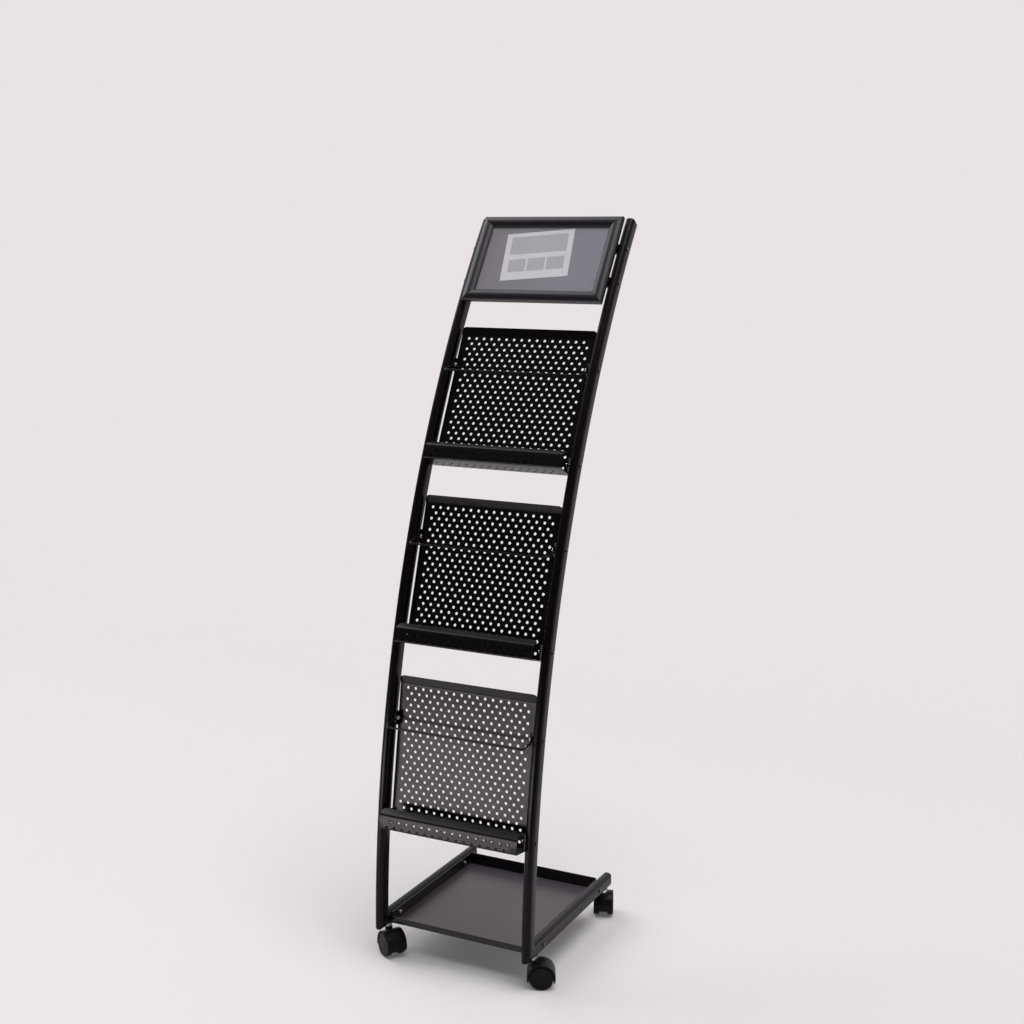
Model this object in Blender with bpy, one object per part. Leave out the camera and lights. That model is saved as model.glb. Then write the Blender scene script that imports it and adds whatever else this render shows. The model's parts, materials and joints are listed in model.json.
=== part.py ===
"""Periodical display rack: bowed side frames, three perforated trays with guard wires, a base tray,
a snap-open sign frame and four hooded twin-wheel casters.

Metres, +Z up, front towards -Y. The origin is on the floor, under the middle of the rack's width and depth.
"""

import math

import bmesh
import bpy
from mathutils import Matrix, Vector

# Fit
GAP = 0.0003              # between pieces that touch
PIN_GAP = 0.0004          # round a bolt, pin or stem

# Side frames: flat-oval tube, a bowed upright mitred to a straight rail
RACK_WIDTH = 0.342
TUBE_WIDTH = 0.019
TUBE_DEPTH = 0.030
TUBE_FLAT = 0.001         # half of the flat on the narrow faces
TUBE_WALL = 0.0015
RAIL_LENGTH = 0.404
BOW_RADIUS = 2.400        # front edge of the upright
UPRIGHT_PAST = 0.003      # past the sign's top edge
BOW_STEPS = 12
CORNER_STEPS = 2

# End caps
CAP_THICK = 0.003
CAP_ROUND = 0.001
CAP_PLUG = 0.008
PLUG_GAP = 0.0006         # looser than the rest, for the bow

# Bolts
BOLT_RADIUS = 0.0025
HEAD_RADIUS = 0.0045
HEAD_THICK = 0.0025
BOLT_SIDES = 6
BOLT_TAIL = 0.004         # stands out past the last sheet

# Trays, counted along the upright's front edge from the rail's underside
TRAY_NAMES = ("lower", "middle", "upper")
FIRST_BOLT = 0.235
TRAY_CLEAR = 0.0805       # from a panel's top bend to the tray above
BOLT_SPACING = 0.196
SHEET = 0.0015
PANEL_SLIT = 0.003        # between panel and upright
PANEL_BEHIND = 0.008      # front face, behind the bolts
FLOOR_DROP = 0.0185       # floor's underside, below the lower bolts
TOP_ROW_RISE = 0.061      # first row of holes, above the upper bolts
TOP_BAND = 0.007          # plain strip above that row
TOP_FLANGE = 0.0165
TOP_FLANGE_ANGLE = 15.0   # bent to the front
TOP_CLIP = 0.007
EAR_HEIGHT = 0.028
EAR_DEPTH = 0.007         # ahead of the bolts
LIP_DEPTH = 0.048
LIP_HEIGHT = 0.029
LIP_HEM = 0.018
LIP_HEM_ANGLE = 58.0
LIP_CLIP = 0.008

# Perforation: staggered rows, of which every HOLE_STEP-th hole of every HOLE_STEP-th row is cut
HOLE_RADIUS = 0.003
HOLE_PITCH = 0.017
ROW_PITCH = HOLE_PITCH * 2 / 3
EDGE_BAND = 0.012         # plain strip at the panel's sides
HOLE_STEP = 2
HOLE_SIDES = 4
LIP_FIRST_ROW = 0.008     # lower row of the lip, above the floor's underside
FLOOR_CLEAR = LIP_HEIGHT  # no row lower than the lip

# Guard wires
WIRE_RADIUS = 0.002
WIRE_ARM = 0.042
WIRE_BEND = 0.010
WIRE_DROOP = 10.5
WIRE_SIDES = 6
EYE_THICK = 0.004
EYE_RADIUS = 0.0065
EYE_SIDES = 10

# Base tray between the rails
BASE_FRONT = 0.036
BASE_REAR = 0.032         # ahead of the rail's back end
BASE_RISE = 0.0025        # underside above the rail's underside
BASE_LIP = 0.013
BASE_SIDE = 0.023
BASE_BACK = 0.026
BASE_BOLT_INSET = 0.029

# Sign: snap frame on four angle brackets
SIGN_OVERLAP = 0.003      # over each upright
SIGN_CLEAR = 0.0645       # from the upper panel's top bend to the sign
SIGN_HEIGHT = 0.201
SIGN_RISE = 0.0035        # its middle, above the middle of its bolts
SIGN_BOLT_SPACING = 0.078
SIGN_BOLT_DEPTH = 0.011
SIGN_STANDOFF = 0.004     # back face ahead of the uprights' front edges
SIGN_FLOOR = 0.002
SIGN_WALL = 0.003
SIGN_WALL_HEIGHT = 0.006
SIGN_LEDGE = 0.020        # width of the base's ring
SHEET_INSET = 0.0145
PLATE_THICK = 0.0015
INSERT_THICK = 0.0004
COVER_THICK = 0.0008
SNAP_WIDTH = 0.0245
SNAP_EDGE = 0.0015
SNAP_CROWN = 0.0048
SNAP_SKIN = 0.0014
SNAP_LIP = 0.0016
SNAP_STEPS = 5
MITRE_GAP = 0.0005
SPRING_LENGTH = 0.050
SPRING_WIDTH = 0.006
SPRING_THICK = 0.0005
SPRING_BOW = 0.006
SPRING_STEPS = 3
BRACKET_HEIGHT = 0.021
BRACKET_LEG = 0.023
BRACKET_THICK = 0.003
BRACKET_TAIL = 0.008      # behind the bolt

# Casters
CASTER_NECK = 0.015       # tread's top to the rail's underside
FRONT_STEM = 0.041        # behind the upright's front
REAR_STEM = 0.016         # ahead of the rail's back end
TRAIL = 0.015
WHEEL_RADIUS = 0.0235
WHEEL_THICK = 0.012
WHEEL_CHAMFER = 0.002
WHEEL_SIDES = 16
WEB_HALF = 0.008          # half the hood's middle web
WHEEL_SIDE_GAP = 0.0008
FENDER_GAP = 0.0016       # between tread and fender
FENDER_WALL = 0.0022
FENDER_BULGE = 0.001
FENDER_DIP = 18.0         # degrees below the axle, at each end
FENDER_STEPS = 10
BOSS_INSET = 0.0005       # inside the web's faces
BOSS_SOCKET = 0.024
STEM_RADIUS = 0.005
STEM_SHOWN = 0.005        # bare, between boss and collar
STEM_TOP_GAP = 0.008      # below the rail's top
COLLAR_RADIUS = 0.008
COLLAR_THICK = 0.0025
STEM_SIDES = 8
AXLE_RADIUS = 0.003
AXLE_SIDES = 8
AXLE_IN_WHEEL = 0.008
FRONT_RIGHT_TURN = 25.4   # degrees from +X to the trail, as photographed
FRONT_LEFT_TURN = -34.0
REAR_RIGHT_TURN = 112.4
REAR_LEFT_TURN = 180.0 - FRONT_RIGHT_TURN

# Values worked out from the above
TUBE_ROUND = TUBE_WIDTH / 2 - TUBE_FLAT
BOLT_DEPTH = TUBE_DEPTH / 2
FRAME_X = (RACK_WIDTH - TUBE_WIDTH) / 2
INNER_X = RACK_WIDTH / 2 - TUBE_WIDTH
CASTER_HEIGHT = 2 * WHEEL_RADIUS + CASTER_NECK
RAIL_BOTTOM = CASTER_HEIGHT
BOSS_RADIUS = WEB_HALF - BOSS_INSET
BOSS_TOP = RAIL_BOTTOM - COLLAR_THICK - STEM_SHOWN - GAP
BASE_LENGTH = RAIL_LENGTH - BASE_FRONT - BASE_REAR
PANEL_RISE = BOLT_SPACING + TOP_ROW_RISE + TOP_BAND
TRAY_PITCH = PANEL_RISE + TRAY_CLEAR + FLOOR_DROP
TOP_PANEL_END = FIRST_BOLT + (len(TRAY_NAMES) - 1) * TRAY_PITCH + PANEL_RISE
SIGN_WIDTH = 2 * (INNER_X + SIGN_OVERLAP)
SIGN_MID = TOP_PANEL_END + SIGN_CLEAR + SIGN_HEIGHT / 2
SIGN_BOLT_MID = SIGN_MID - SIGN_RISE
UPRIGHT_LENGTH = SIGN_MID + SIGN_HEIGHT / 2 + UPRIGHT_PAST
BOLT_CHORD = 2 * (BOW_RADIUS - BOLT_DEPTH) * math.sin(BOLT_SPACING / BOW_RADIUS / 2)
SIGN_CHORD = 2 * (BOW_RADIUS - SIGN_BOLT_DEPTH) * math.sin(SIGN_BOLT_SPACING / BOW_RADIUS / 2)
PANEL_HALF = INNER_X - PANEL_SLIT
PANEL_TOP = BOLT_CHORD + TOP_ROW_RISE + TOP_BAND
HOLES_IN_ROW = int((PANEL_HALF - EDGE_BAND) * 2 / HOLE_PITCH)
EAR_X = INNER_X - EYE_THICK - 2 * GAP
EYE_X = INNER_X - GAP - EYE_THICK / 2


def clear_scene():
    for found in list(bpy.data.objects):
        bpy.data.objects.remove(found, do_unlink=True)


def material(name, colour, roughness, metallic):
    made = bpy.data.materials.new(name)
    made.use_nodes = True
    shader = made.node_tree.nodes["Principled BSDF"]
    shader.inputs["Base Color"].default_value = (*colour, 1.0)
    shader.inputs["Roughness"].default_value = roughness
    shader.inputs["Metallic"].default_value = metallic
    return made


def empty(name, parent=None, location=(0, 0, 0), rotation=(0, 0, 0)):
    made = bpy.data.objects.new(name, None)
    bpy.context.collection.objects.link(made)
    made.parent = parent
    made.location = location
    made.rotation_euler = rotation
    return made


def mesh_of(build):
    """A mesh from a function that fills a bmesh."""
    bm = bmesh.new()
    build(bm)
    bmesh.ops.recalc_face_normals(bm, faces=bm.faces)
    mesh = bpy.data.meshes.new("shape")
    bm.to_mesh(mesh)
    bm.free()
    return mesh


def combined(mesh, *steps):
    """The mesh after Boolean steps, each a pair of operation and other mesh."""
    base = bpy.data.objects.new("base", mesh)
    bpy.context.collection.objects.link(base)
    helpers = [base]
    for operation, other in steps:
        helper = bpy.data.objects.new("cutter", other)
        helper.hide_render = True
        helper.display_type = "WIRE"
        bpy.context.collection.objects.link(helper)
        helpers.append(helper)
        modifier = base.modifiers.new(operation, "BOOLEAN")
        modifier.operation = operation
        modifier.solver = "EXACT"
        modifier.object = helper
    shown = base.evaluated_get(bpy.context.evaluated_depsgraph_get())
    made = bpy.data.meshes.new_from_object(shown)
    for helper in helpers:
        bpy.data.objects.remove(helper, do_unlink=True)
    return made


def place(name, mesh, look, parent, location=(0, 0, 0), rotation=(0, 0, 0)):
    made = bpy.data.objects.new(name, mesh)
    bpy.context.collection.objects.link(made)
    made.parent = parent
    made.location = location
    made.rotation_euler = rotation
    mesh.name = name
    mesh.materials.clear()
    mesh.materials.append(look)
    mesh.shade_smooth()
    mesh.set_sharp_from_angle(angle=math.radians(35))
    return made


def loft(bm, rings, closed=False):
    """A skin over rings of equal count, capped at both ends or joined end to end."""
    made = [[bm.verts.new(point) for point in ring] for ring in rings]
    pairs = list(zip(made, made[1:]))
    if closed:
        pairs.append((made[-1], made[0]))
    else:
        bm.faces.new(made[0])
        bm.faces.new(made[-1])
    for low, high in pairs:
        for i in range(len(low)):
            j = (i + 1) % len(low)
            bm.faces.new((low[i], low[j], high[j], high[i]))


def turned(bm, profile, sides, matrix=Matrix(), closed=False):
    """A body turned about Z from (radius, height) pairs, closed at its ends or a ring."""
    rings = []
    for radius, height in profile:
        ring = []
        for i in range(sides):
            angle = 2 * math.pi * (i + 0.5) / sides
            ring.append(matrix @ Vector((radius * math.cos(angle), radius * math.sin(angle), height)))
        rings.append(ring)
    loft(bm, rings, closed)


def strip(bm, outline, halves, matrix=Matrix()):
    """An outline in Y and Z drawn out along X, each point to its own half length."""
    ends = []
    for side in (-1, 1):
        ends.append([matrix @ Vector((side * half, y, z)) for (y, z), half in zip(outline, halves)])
    loft(bm, ends)


def box(bm, low, high):
    outline = [(low[1], low[2]), (high[1], low[2]), (high[1], high[2]), (low[1], high[2])]
    ends = [[Vector((x, y, z)) for y, z in outline] for x in (low[0], high[0])]
    loft(bm, ends)


def folded(path, thickness):
    """The outline of a sheet whose one face follows the path, with the sheet to its left."""
    points = [Vector(point) for point in path]
    lefts = []
    for start, end in zip(points, points[1:]):
        along = (end - start).normalized()
        lefts.append(Vector((-along.y, along.x)))
    other = []
    for i, point in enumerate(points):
        before = lefts[max(i - 1, 0)]
        after = lefts[min(i, len(lefts) - 1)]
        other.append(point + (before + after) * (thickness / (1 + before.dot(after))))
    return [tuple(point) for point in points + other[::-1]]


def bow(length, depth):
    """Y and Z of a point on the upright, by length along its front edge and depth behind it."""
    turn = length / BOW_RADIUS
    reach = BOW_RADIUS - depth
    return BOW_RADIUS - reach * math.cos(turn), RAIL_BOTTOM + reach * math.sin(turn)


def chord(first, spacing, depth):
    """Start point and lean of the line between two bolts on the upright."""
    y0, z0 = bow(first, depth)
    y1, z1 = bow(first + spacing, depth)
    return (0, y0, z0), math.atan2(y1 - y0, z1 - z0)


def oval(inset):
    """The tube's section as (x, depth) pairs, moved in by a wall."""
    radius = TUBE_ROUND - inset
    points = []
    for quarter, (sx, sd) in enumerate(((1, 1), (-1, 1), (-1, -1), (1, -1))):
        centre_x = sx * (TUBE_WIDTH / 2 - TUBE_ROUND)
        centre_d = TUBE_DEPTH / 2 + sd * (TUBE_DEPTH / 2 - TUBE_ROUND)
        for step in range(CORNER_STEPS + 1):
            angle = math.radians(90 * (quarter + step / CORNER_STEPS))
            points.append((centre_x + radius * math.cos(angle), centre_d + radius * math.sin(angle)))
    return points


def along_x(x, y, z):
    """Places a turned body's axis along X, at a point."""
    return Matrix.Translation((x, y, z)) @ Matrix.Rotation(math.radians(90), 4, "Y")


def bore(radius, sides):
    """Radius of a hole with flat sides that clears a round pin all the way round."""
    return (radius + PIN_GAP) / math.cos(math.pi / sides)


def tray_bolts():
    """Lengths along the upright of the lower bolt of each tray."""
    return [FIRST_BOLT + i * TRAY_PITCH for i in range(len(TRAY_NAMES))]


def base_bolts():
    z = RAIL_BOTTOM + TUBE_DEPTH / 2
    return [(BASE_FRONT + BASE_BOLT_INSET, z), (BASE_FRONT + BASE_LENGTH - BASE_BOLT_INSET, z)]


def stem_places():
    return {"front": FRONT_STEM, "rear": RAIL_LENGTH - REAR_STEM}


def tube(bm):
    """One side frame about x = 0: from the rail's back end round the mitre and up the bow."""
    skins = []
    for inset in (0, TUBE_WALL):
        section = oval(inset)
        rings = [[(x, RAIL_LENGTH, RAIL_BOTTOM + d) for x, d in section]]
        rings.append([(x, d, RAIL_BOTTOM + d) for x, d in section])
        for step in range(1, BOW_STEPS + 1):
            length = UPRIGHT_LENGTH * step / BOW_STEPS
            rings.append([(x, *bow(length, d)) for x, d in section])
        skins.append(rings)
    loft(bm, skins[0] + skins[1][::-1], closed=True)


def stud(bm, side, y, z, collar, reach):
    """A bolt fixed in the tube: its head outside and its shank inside, after a collar."""
    inner = -side * TUBE_WIDTH / 2
    outer = side * TUBE_WIDTH / 2
    turned(bm, [(HEAD_RADIUS, -TUBE_WALL / 2), (HEAD_RADIUS, HEAD_THICK)], BOLT_SIDES,
           along_x(outer, y, z) @ Matrix.Scale(side, 4, (0, 0, 1)))
    profile = [(BOLT_RADIUS, -TUBE_WALL / 2), (BOLT_RADIUS, reach)]
    if collar:
        profile = [(HEAD_RADIUS, -TUBE_WALL / 2), (HEAD_RADIUS, collar), (BOLT_RADIUS, collar),
                   (BOLT_RADIUS, reach)]
    turned(bm, profile, BOLT_SIDES, along_x(inner, y, z) @ Matrix.Scale(-side, 4, (0, 0, 1)))


def side_frame_mesh(side):
    """The tube with the bolts that stay in it, and holes for the wires' pivots and the caster stems."""

    def studs(bm):
        spacer = INNER_X - EAR_X - GAP
        for start in tray_bolts():
            stud(bm, side, *bow(start, BOLT_DEPTH), spacer, INNER_X - EAR_X + SHEET + BOLT_TAIL)
        for y, z in base_bolts():
            stud(bm, side, y, z, 0, GAP + SHEET + BOLT_TAIL)
        for sign in (-1, 1):
            length = SIGN_BOLT_MID + sign * SIGN_BOLT_SPACING / 2
            stud(bm, side, *bow(length, SIGN_BOLT_DEPTH), 0, GAP + BRACKET_THICK + BOLT_TAIL)

    def holes(bm):
        hole = bore(BOLT_RADIUS, BOLT_SIDES)
        for start in tray_bolts():
            y, z = bow(start + BOLT_SPACING, BOLT_DEPTH)
            turned(bm, [(hole, -TUBE_WIDTH), (hole, TUBE_WIDTH)], BOLT_SIDES, along_x(0, y, z))
        stem_hole = bore(STEM_RADIUS, STEM_SIDES)
        for y in stem_places().values():
            turned(bm, [(stem_hole, -TUBE_WALL), (stem_hole, 2 * TUBE_WALL)], STEM_SIDES,
                   Matrix.Translation((0, y, RAIL_BOTTOM)))

    return combined(mesh_of(tube), ("UNION", mesh_of(studs)), ("DIFFERENCE", mesh_of(holes)))


def cap_mesh():
    """A cap on the tube's end, with a plug inside; Z points out of the tube."""

    def build(bm):
        rim = oval(0)
        edge = oval(CAP_ROUND)
        plug = oval(TUBE_WALL + PLUG_GAP)
        rings = [[(x, d, -CAP_PLUG) for x, d in plug], [(x, d, GAP) for x, d in plug]]
        rings.append([(x, d, GAP) for x, d in rim])
        rings.append([(x, d, GAP + CAP_THICK - CAP_ROUND) for x, d in rim])
        rings.append([(x, d, GAP + CAP_THICK) for x, d in edge])
        loft(bm, rings)

    return mesh_of(build)


def hole_places(top, lowest):
    """Places of the cut holes, from the top row down: a share of the full staggered pattern."""
    row = 0
    while top - row * ROW_PITCH > lowest:
        band = row // HOLE_STEP
        first = (band % 2) * HOLE_STEP // 2
        for column in range(first, HOLES_IN_ROW, HOLE_STEP):
            stagger = (row % 2) / 2
            yield (column + stagger - (HOLES_IN_ROW - 0.5) / 2) * HOLE_PITCH, top - row * ROW_PITCH
        row += HOLE_STEP


def panel_mesh():
    """Back panel about the lower bolts: Z up the panel, Y to the back."""
    front = PANEL_BEHIND
    bottom = -FLOOR_DROP + SHEET + GAP
    lean = math.radians(TOP_FLANGE_ANGLE)
    path = [(front, PANEL_TOP), (front, bottom)]
    path.insert(0, (front - TOP_FLANGE * math.sin(lean), PANEL_TOP + TOP_FLANGE * math.cos(lean)))
    halves = [PANEL_HALF - TOP_CLIP, PANEL_HALF, PANEL_HALF]
    spots = [(side, z) for side in (-1, 1) for z in (0, BOLT_CHORD)]

    def sheet(bm):
        strip(bm, folded(path, SHEET), halves + halves[::-1])

    def ears(bm):
        for side, z in spots:
            near, far = sorted((side * (EAR_X - SHEET), side * EAR_X))
            box(bm, (near, -EAR_DEPTH, z - EAR_HEIGHT / 2), (far, front + SHEET / 2, z + EAR_HEIGHT / 2))

    def bolt_holes(bm):
        hole = bore(BOLT_RADIUS, BOLT_SIDES)
        for side, z in spots:
            turned(bm, [(hole, -2 * SHEET), (hole, 2 * SHEET)], BOLT_SIDES, along_x(side * EAR_X, 0, z))

    def perforation(bm):
        ahead = Matrix.Rotation(math.radians(90), 4, "X")
        for x, z in hole_places(BOLT_CHORD + TOP_ROW_RISE, bottom + FLOOR_CLEAR):
            turned(bm, [(HOLE_RADIUS, -2 * SHEET), (HOLE_RADIUS, 2 * SHEET)], HOLE_SIDES,
                   Matrix.Translation((x, front, z)) @ ahead)

    return combined(mesh_of(sheet), ("UNION", mesh_of(ears)), ("DIFFERENCE", mesh_of(bolt_holes)),
                    ("DIFFERENCE", mesh_of(perforation)))


def tray_mesh():
    """Floor, lip and hem of a tray, in the panel's frame."""
    back = PANEL_BEHIND + SHEET
    front = PANEL_BEHIND - LIP_DEPTH
    floor = -FLOOR_DROP
    top = floor + LIP_HEIGHT
    turn = math.radians(LIP_HEM_ANGLE)
    path = [(back, floor), (front, floor), (front, top)]
    path.append((front + LIP_HEM * math.sin(turn), top + LIP_HEM * math.cos(turn)))
    halves = [PANEL_HALF, PANEL_HALF, PANEL_HALF, PANEL_HALF - LIP_CLIP]
    path.reverse()
    halves.reverse()

    def sheet(bm):
        strip(bm, folded(path, SHEET), halves + halves[::-1])

    def cuts(bm):
        ahead = Matrix.Rotation(math.radians(90), 4, "X")
        upper_row = floor + LIP_FIRST_ROW + HOLE_STEP * ROW_PITCH / 2
        for x, z in hole_places(upper_row, floor + LIP_FIRST_ROW / 2):
            turned(bm, [(HOLE_RADIUS, -2 * SHEET), (HOLE_RADIUS, 2 * SHEET)], HOLE_SIDES,
                   Matrix.Translation((x, front, z)) @ ahead)

    return combined(mesh_of(sheet), ("DIFFERENCE", mesh_of(cuts)))


def wire_mesh():
    """Guard wire about its pivots: the arms run to the front, along -Y."""
    route = [Vector((EYE_X, -(BOLT_RADIUS + EYE_RADIUS) / 2, 0))]
    for step in range(CORNER_STEPS + 2):
        turn = math.radians(90 * step / (CORNER_STEPS + 1))
        route.append(Vector((EYE_X - WIRE_BEND * (1 - math.cos(turn)),
                             -WIRE_ARM + WIRE_BEND * (1 - math.sin(turn)), 0)))
    route += [Vector((-point.x, point.y, 0)) for point in reversed(route)]

    def rod(bm):
        rings = []
        for i, point in enumerate(route):
            along = (route[min(i + 1, len(route) - 1)] - route[max(i - 1, 0)]).normalized()
            across = Vector((-along.y, along.x, 0))
            ring = []
            for k in range(WIRE_SIDES):
                angle = 2 * math.pi * k / WIRE_SIDES
                offset = across * math.cos(angle) + Vector((0, 0, 1)) * math.sin(angle)
                ring.append(point + offset * WIRE_RADIUS)
            rings.append(ring)
        loft(bm, rings)

    def eyes(bm):
        for side in (-1, 1):
            turned(bm, [(EYE_RADIUS, -EYE_THICK / 2), (EYE_RADIUS, EYE_THICK / 2)], EYE_SIDES,
                   along_x(side * EYE_X, 0, 0))

    def bores(bm):
        hole = bore(BOLT_RADIUS, EYE_SIDES)
        for side in (-1, 1):
            turned(bm, [(hole, -EYE_THICK), (hole, EYE_THICK)], EYE_SIDES, along_x(side * EYE_X, 0, 0))

    return combined(mesh_of(rod), ("UNION", mesh_of(eyes)), ("DIFFERENCE", mesh_of(bores)))


def pivot_bolt_mesh():
    """Bolt through the upright, the wire's eye and the ear; X points out of the rack."""
    outer = RACK_WIDTH / 2 + GAP
    tail = EAR_X - SHEET - BOLT_TAIL

    def build(bm):
        turned(bm, [(BOLT_RADIUS, tail), (BOLT_RADIUS, outer), (HEAD_RADIUS, outer),
                    (HEAD_RADIUS, outer + HEAD_THICK)], BOLT_SIDES, along_x(0, 0, 0))

    return mesh_of(build)


def base_tray_mesh():
    """Folded tray: floor, low front lip, side flanges and back wall."""
    half = INNER_X - GAP
    bottom = RAIL_BOTTOM + BASE_RISE
    back = BASE_FRONT + BASE_LENGTH
    past = BASE_BACK
    above = bottom + 2 * BASE_BACK

    def block(bm):
        box(bm, (-half, BASE_FRONT, bottom), (half, back, bottom + BASE_BACK))

    def inside(bm):
        box(bm, (-half + SHEET, BASE_FRONT + SHEET, bottom + SHEET), (half - SHEET, back - SHEET, above))

    def tops(bm):
        box(bm, (-half - past, BASE_FRONT - past, bottom + BASE_SIDE), (half + past, back - SHEET, above))

    def front(bm):
        box(bm, (-half + SHEET, BASE_FRONT - past, bottom + BASE_LIP),
            (half - SHEET, BASE_FRONT + 2 * SHEET, above))

    def bolts(bm):
        hole = bore(BOLT_RADIUS, BOLT_SIDES)
        for side in (-1, 1):
            for y, z in base_bolts():
                turned(bm, [(hole, -2 * SHEET), (hole, 2 * SHEET)], BOLT_SIDES, along_x(side * half, y, z))

    cuts = [("DIFFERENCE", mesh_of(cut)) for cut in (inside, tops, front, bolts)]
    return combined(mesh_of(block), *cuts)


def frame_ring(bm, outer, inner, low, high):
    """A rectangular ring in X and Z, between two heights ahead of Y = 0."""
    rings = []
    for (half_x, half_z), height in ((outer, low), (outer, high), (inner, high), (inner, low)):
        rings.append([(x * half_x, -height, z * half_z) for x, z in ((-1, -1), (1, -1), (1, 1), (-1, 1))])
    loft(bm, rings, closed=True)


def sign_half(inset):
    return SIGN_WIDTH / 2 - inset, SIGN_HEIGHT / 2 - inset


def sign_base_mesh():
    def ledge(bm):
        frame_ring(bm, sign_half(0), sign_half(SIGN_LEDGE), 0, SIGN_FLOOR)

    def wall(bm):
        frame_ring(bm, sign_half(0), sign_half(SIGN_WALL), SIGN_FLOOR / 2, SIGN_WALL_HEIGHT)

    return combined(mesh_of(ledge), ("UNION", mesh_of(wall)))


def sign_sheet_mesh(low, thickness):
    half_x, half_z = sign_half(SHEET_INSET)

    def build(bm):
        box(bm, (-half_x, -low - thickness, -half_z), (half_x, -low, half_z))

    return mesh_of(build)


def snap_rail_mesh(length):
    """Mitred snap rail about its hinge line: Z points out of the sign, -Y to the front."""

    def crown(across):
        return SNAP_EDGE + SNAP_CROWN * math.sin(math.pi * across / SNAP_WIDTH)

    sheets = SIGN_FLOOR + PLATE_THICK + INSERT_THICK + COVER_THICK + 4 * GAP
    lip_low = sheets - SIGN_WALL_HEIGHT - GAP
    section = [(0.0, 0.0)]
    for step in range(SNAP_STEPS + 1):
        across = SNAP_WIDTH * step / SNAP_STEPS
        section.append((across, crown(across)))
    section += [(SNAP_WIDTH, lip_low), (SNAP_WIDTH - SNAP_LIP, lip_low)]
    inner_span = SNAP_WIDTH - SNAP_LIP - SIGN_WALL
    for step in range(SNAP_STEPS + 1):
        across = SNAP_WIDTH - SNAP_LIP - inner_span * step / SNAP_STEPS
        section.append((across, crown(across) - SNAP_SKIN))
    section.append((SIGN_WALL, 0.0))

    def build(bm):
        outline = [(-height, -across) for across, height in section]
        halves = [length / 2 - across - MITRE_GAP for across, _ in section]
        strip(bm, outline, halves)

    return mesh_of(build)


def spring_mesh():
    """Bowed leaf spring under a snap rail, in the rail's frame, seated on the base's floor."""
    foot = SIGN_WALL_HEIGHT - SIGN_FLOOR
    middle = (SIGN_WALL + SHEET_INSET) / 2

    def build(bm):
        path = []
        for step in range(2 * SPRING_STEPS + 1):
            share = step / (2 * SPRING_STEPS)
            rise = SPRING_BOW * math.sin(math.pi * share) - foot
            path.append((SPRING_LENGTH * (share - 0.5), rise))
        outline = folded(path, SPRING_THICK)
        turn = Matrix(((0, 1, 0, 0), (0, 0, -1, 0), (1, 0, 0, -middle), (0, 0, 0, 1)))
        strip(bm, outline, [SPRING_WIDTH / 2] * len(outline), turn)

    return mesh_of(build)


def bracket_mesh():
    """Angle bracket of the right side: one leg on the upright, one on the sign's back."""
    outer = INNER_X - GAP
    front = -SIGN_BOLT_DEPTH - SIGN_STANDOFF + GAP
    path = [(outer - BRACKET_LEG, front), (outer, front), (outer, BRACKET_TAIL)]
    stand = Matrix(((0, 1, 0, 0), (0, 0, 1, 0), (1, 0, 0, 0), (0, 0, 0, 1)))

    def angle(bm):
        outline = folded(path, BRACKET_THICK)
        strip(bm, outline, [BRACKET_HEIGHT / 2] * len(outline), stand)

    def bolt(bm):
        hole = bore(BOLT_RADIUS, BOLT_SIDES)
        turned(bm, [(hole, -2 * BRACKET_THICK), (hole, 2 * BRACKET_THICK)], BOLT_SIDES, along_x(outer, 0, 0))

    return combined(mesh_of(angle), ("DIFFERENCE", mesh_of(bolt)))


def stem_mesh():
    def build(bm):
        top = RAIL_BOTTOM - GAP
        turned(bm, [(STEM_RADIUS, BOSS_TOP - BOSS_SOCKET + GAP), (STEM_RADIUS, top - COLLAR_THICK),
                    (COLLAR_RADIUS, top - COLLAR_THICK), (COLLAR_RADIUS, top), (STEM_RADIUS, top),
                    (STEM_RADIUS, RAIL_BOTTOM + TUBE_DEPTH - STEM_TOP_GAP)], STEM_SIDES)

    return mesh_of(build)


def hood_mesh():
    """Caster body: barrel-shaped fenders over both wheels, a middle web and the stem's boss."""
    half = WEB_HALF + WHEEL_SIDE_GAP + WHEEL_THICK
    cavity = WHEEL_RADIUS + FENDER_GAP
    across = Matrix.Translation((TRAIL, 0, WHEEL_RADIUS)) @ Matrix.Rotation(math.radians(90), 4, "X")

    def barrel(bm):
        rings = []
        for share in (-1, 0, 1):
            radius = cavity + FENDER_WALL + FENDER_BULGE * (1 - share * share)
            ring = []
            for k in range(FENDER_STEPS + 1):
                angle = math.radians(-FENDER_DIP + (180 + 2 * FENDER_DIP) * k / FENDER_STEPS)
                spot = Vector((radius * math.cos(angle), radius * math.sin(angle), share * half))
                ring.append(across @ spot)
            rings.append(ring)
        loft(bm, rings)

    def boss(bm):
        turned(bm, [(BOSS_RADIUS, WHEEL_RADIUS), (BOSS_RADIUS, BOSS_TOP)], 2 * STEM_SIDES)

    def wheel_rooms(bm):
        for side in (-1, 1):
            turned(bm, [(cavity, WEB_HALF), (cavity, 2 * half)], 2 * FENDER_STEPS,
                   across @ Matrix.Scale(side, 4, (0, 0, 1)))

    def bores(bm):
        socket = bore(STEM_RADIUS, STEM_SIDES)
        turned(bm, [(socket, BOSS_TOP - BOSS_SOCKET), (socket, 2 * BOSS_TOP)], STEM_SIDES)
        axle = bore(AXLE_RADIUS, AXLE_SIDES)
        turned(bm, [(axle, -half), (axle, half)], AXLE_SIDES, across)

    return combined(mesh_of(barrel), ("DIFFERENCE", mesh_of(wheel_rooms)), ("UNION", mesh_of(boss)),
                    ("DIFFERENCE", mesh_of(bores)))


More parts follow.
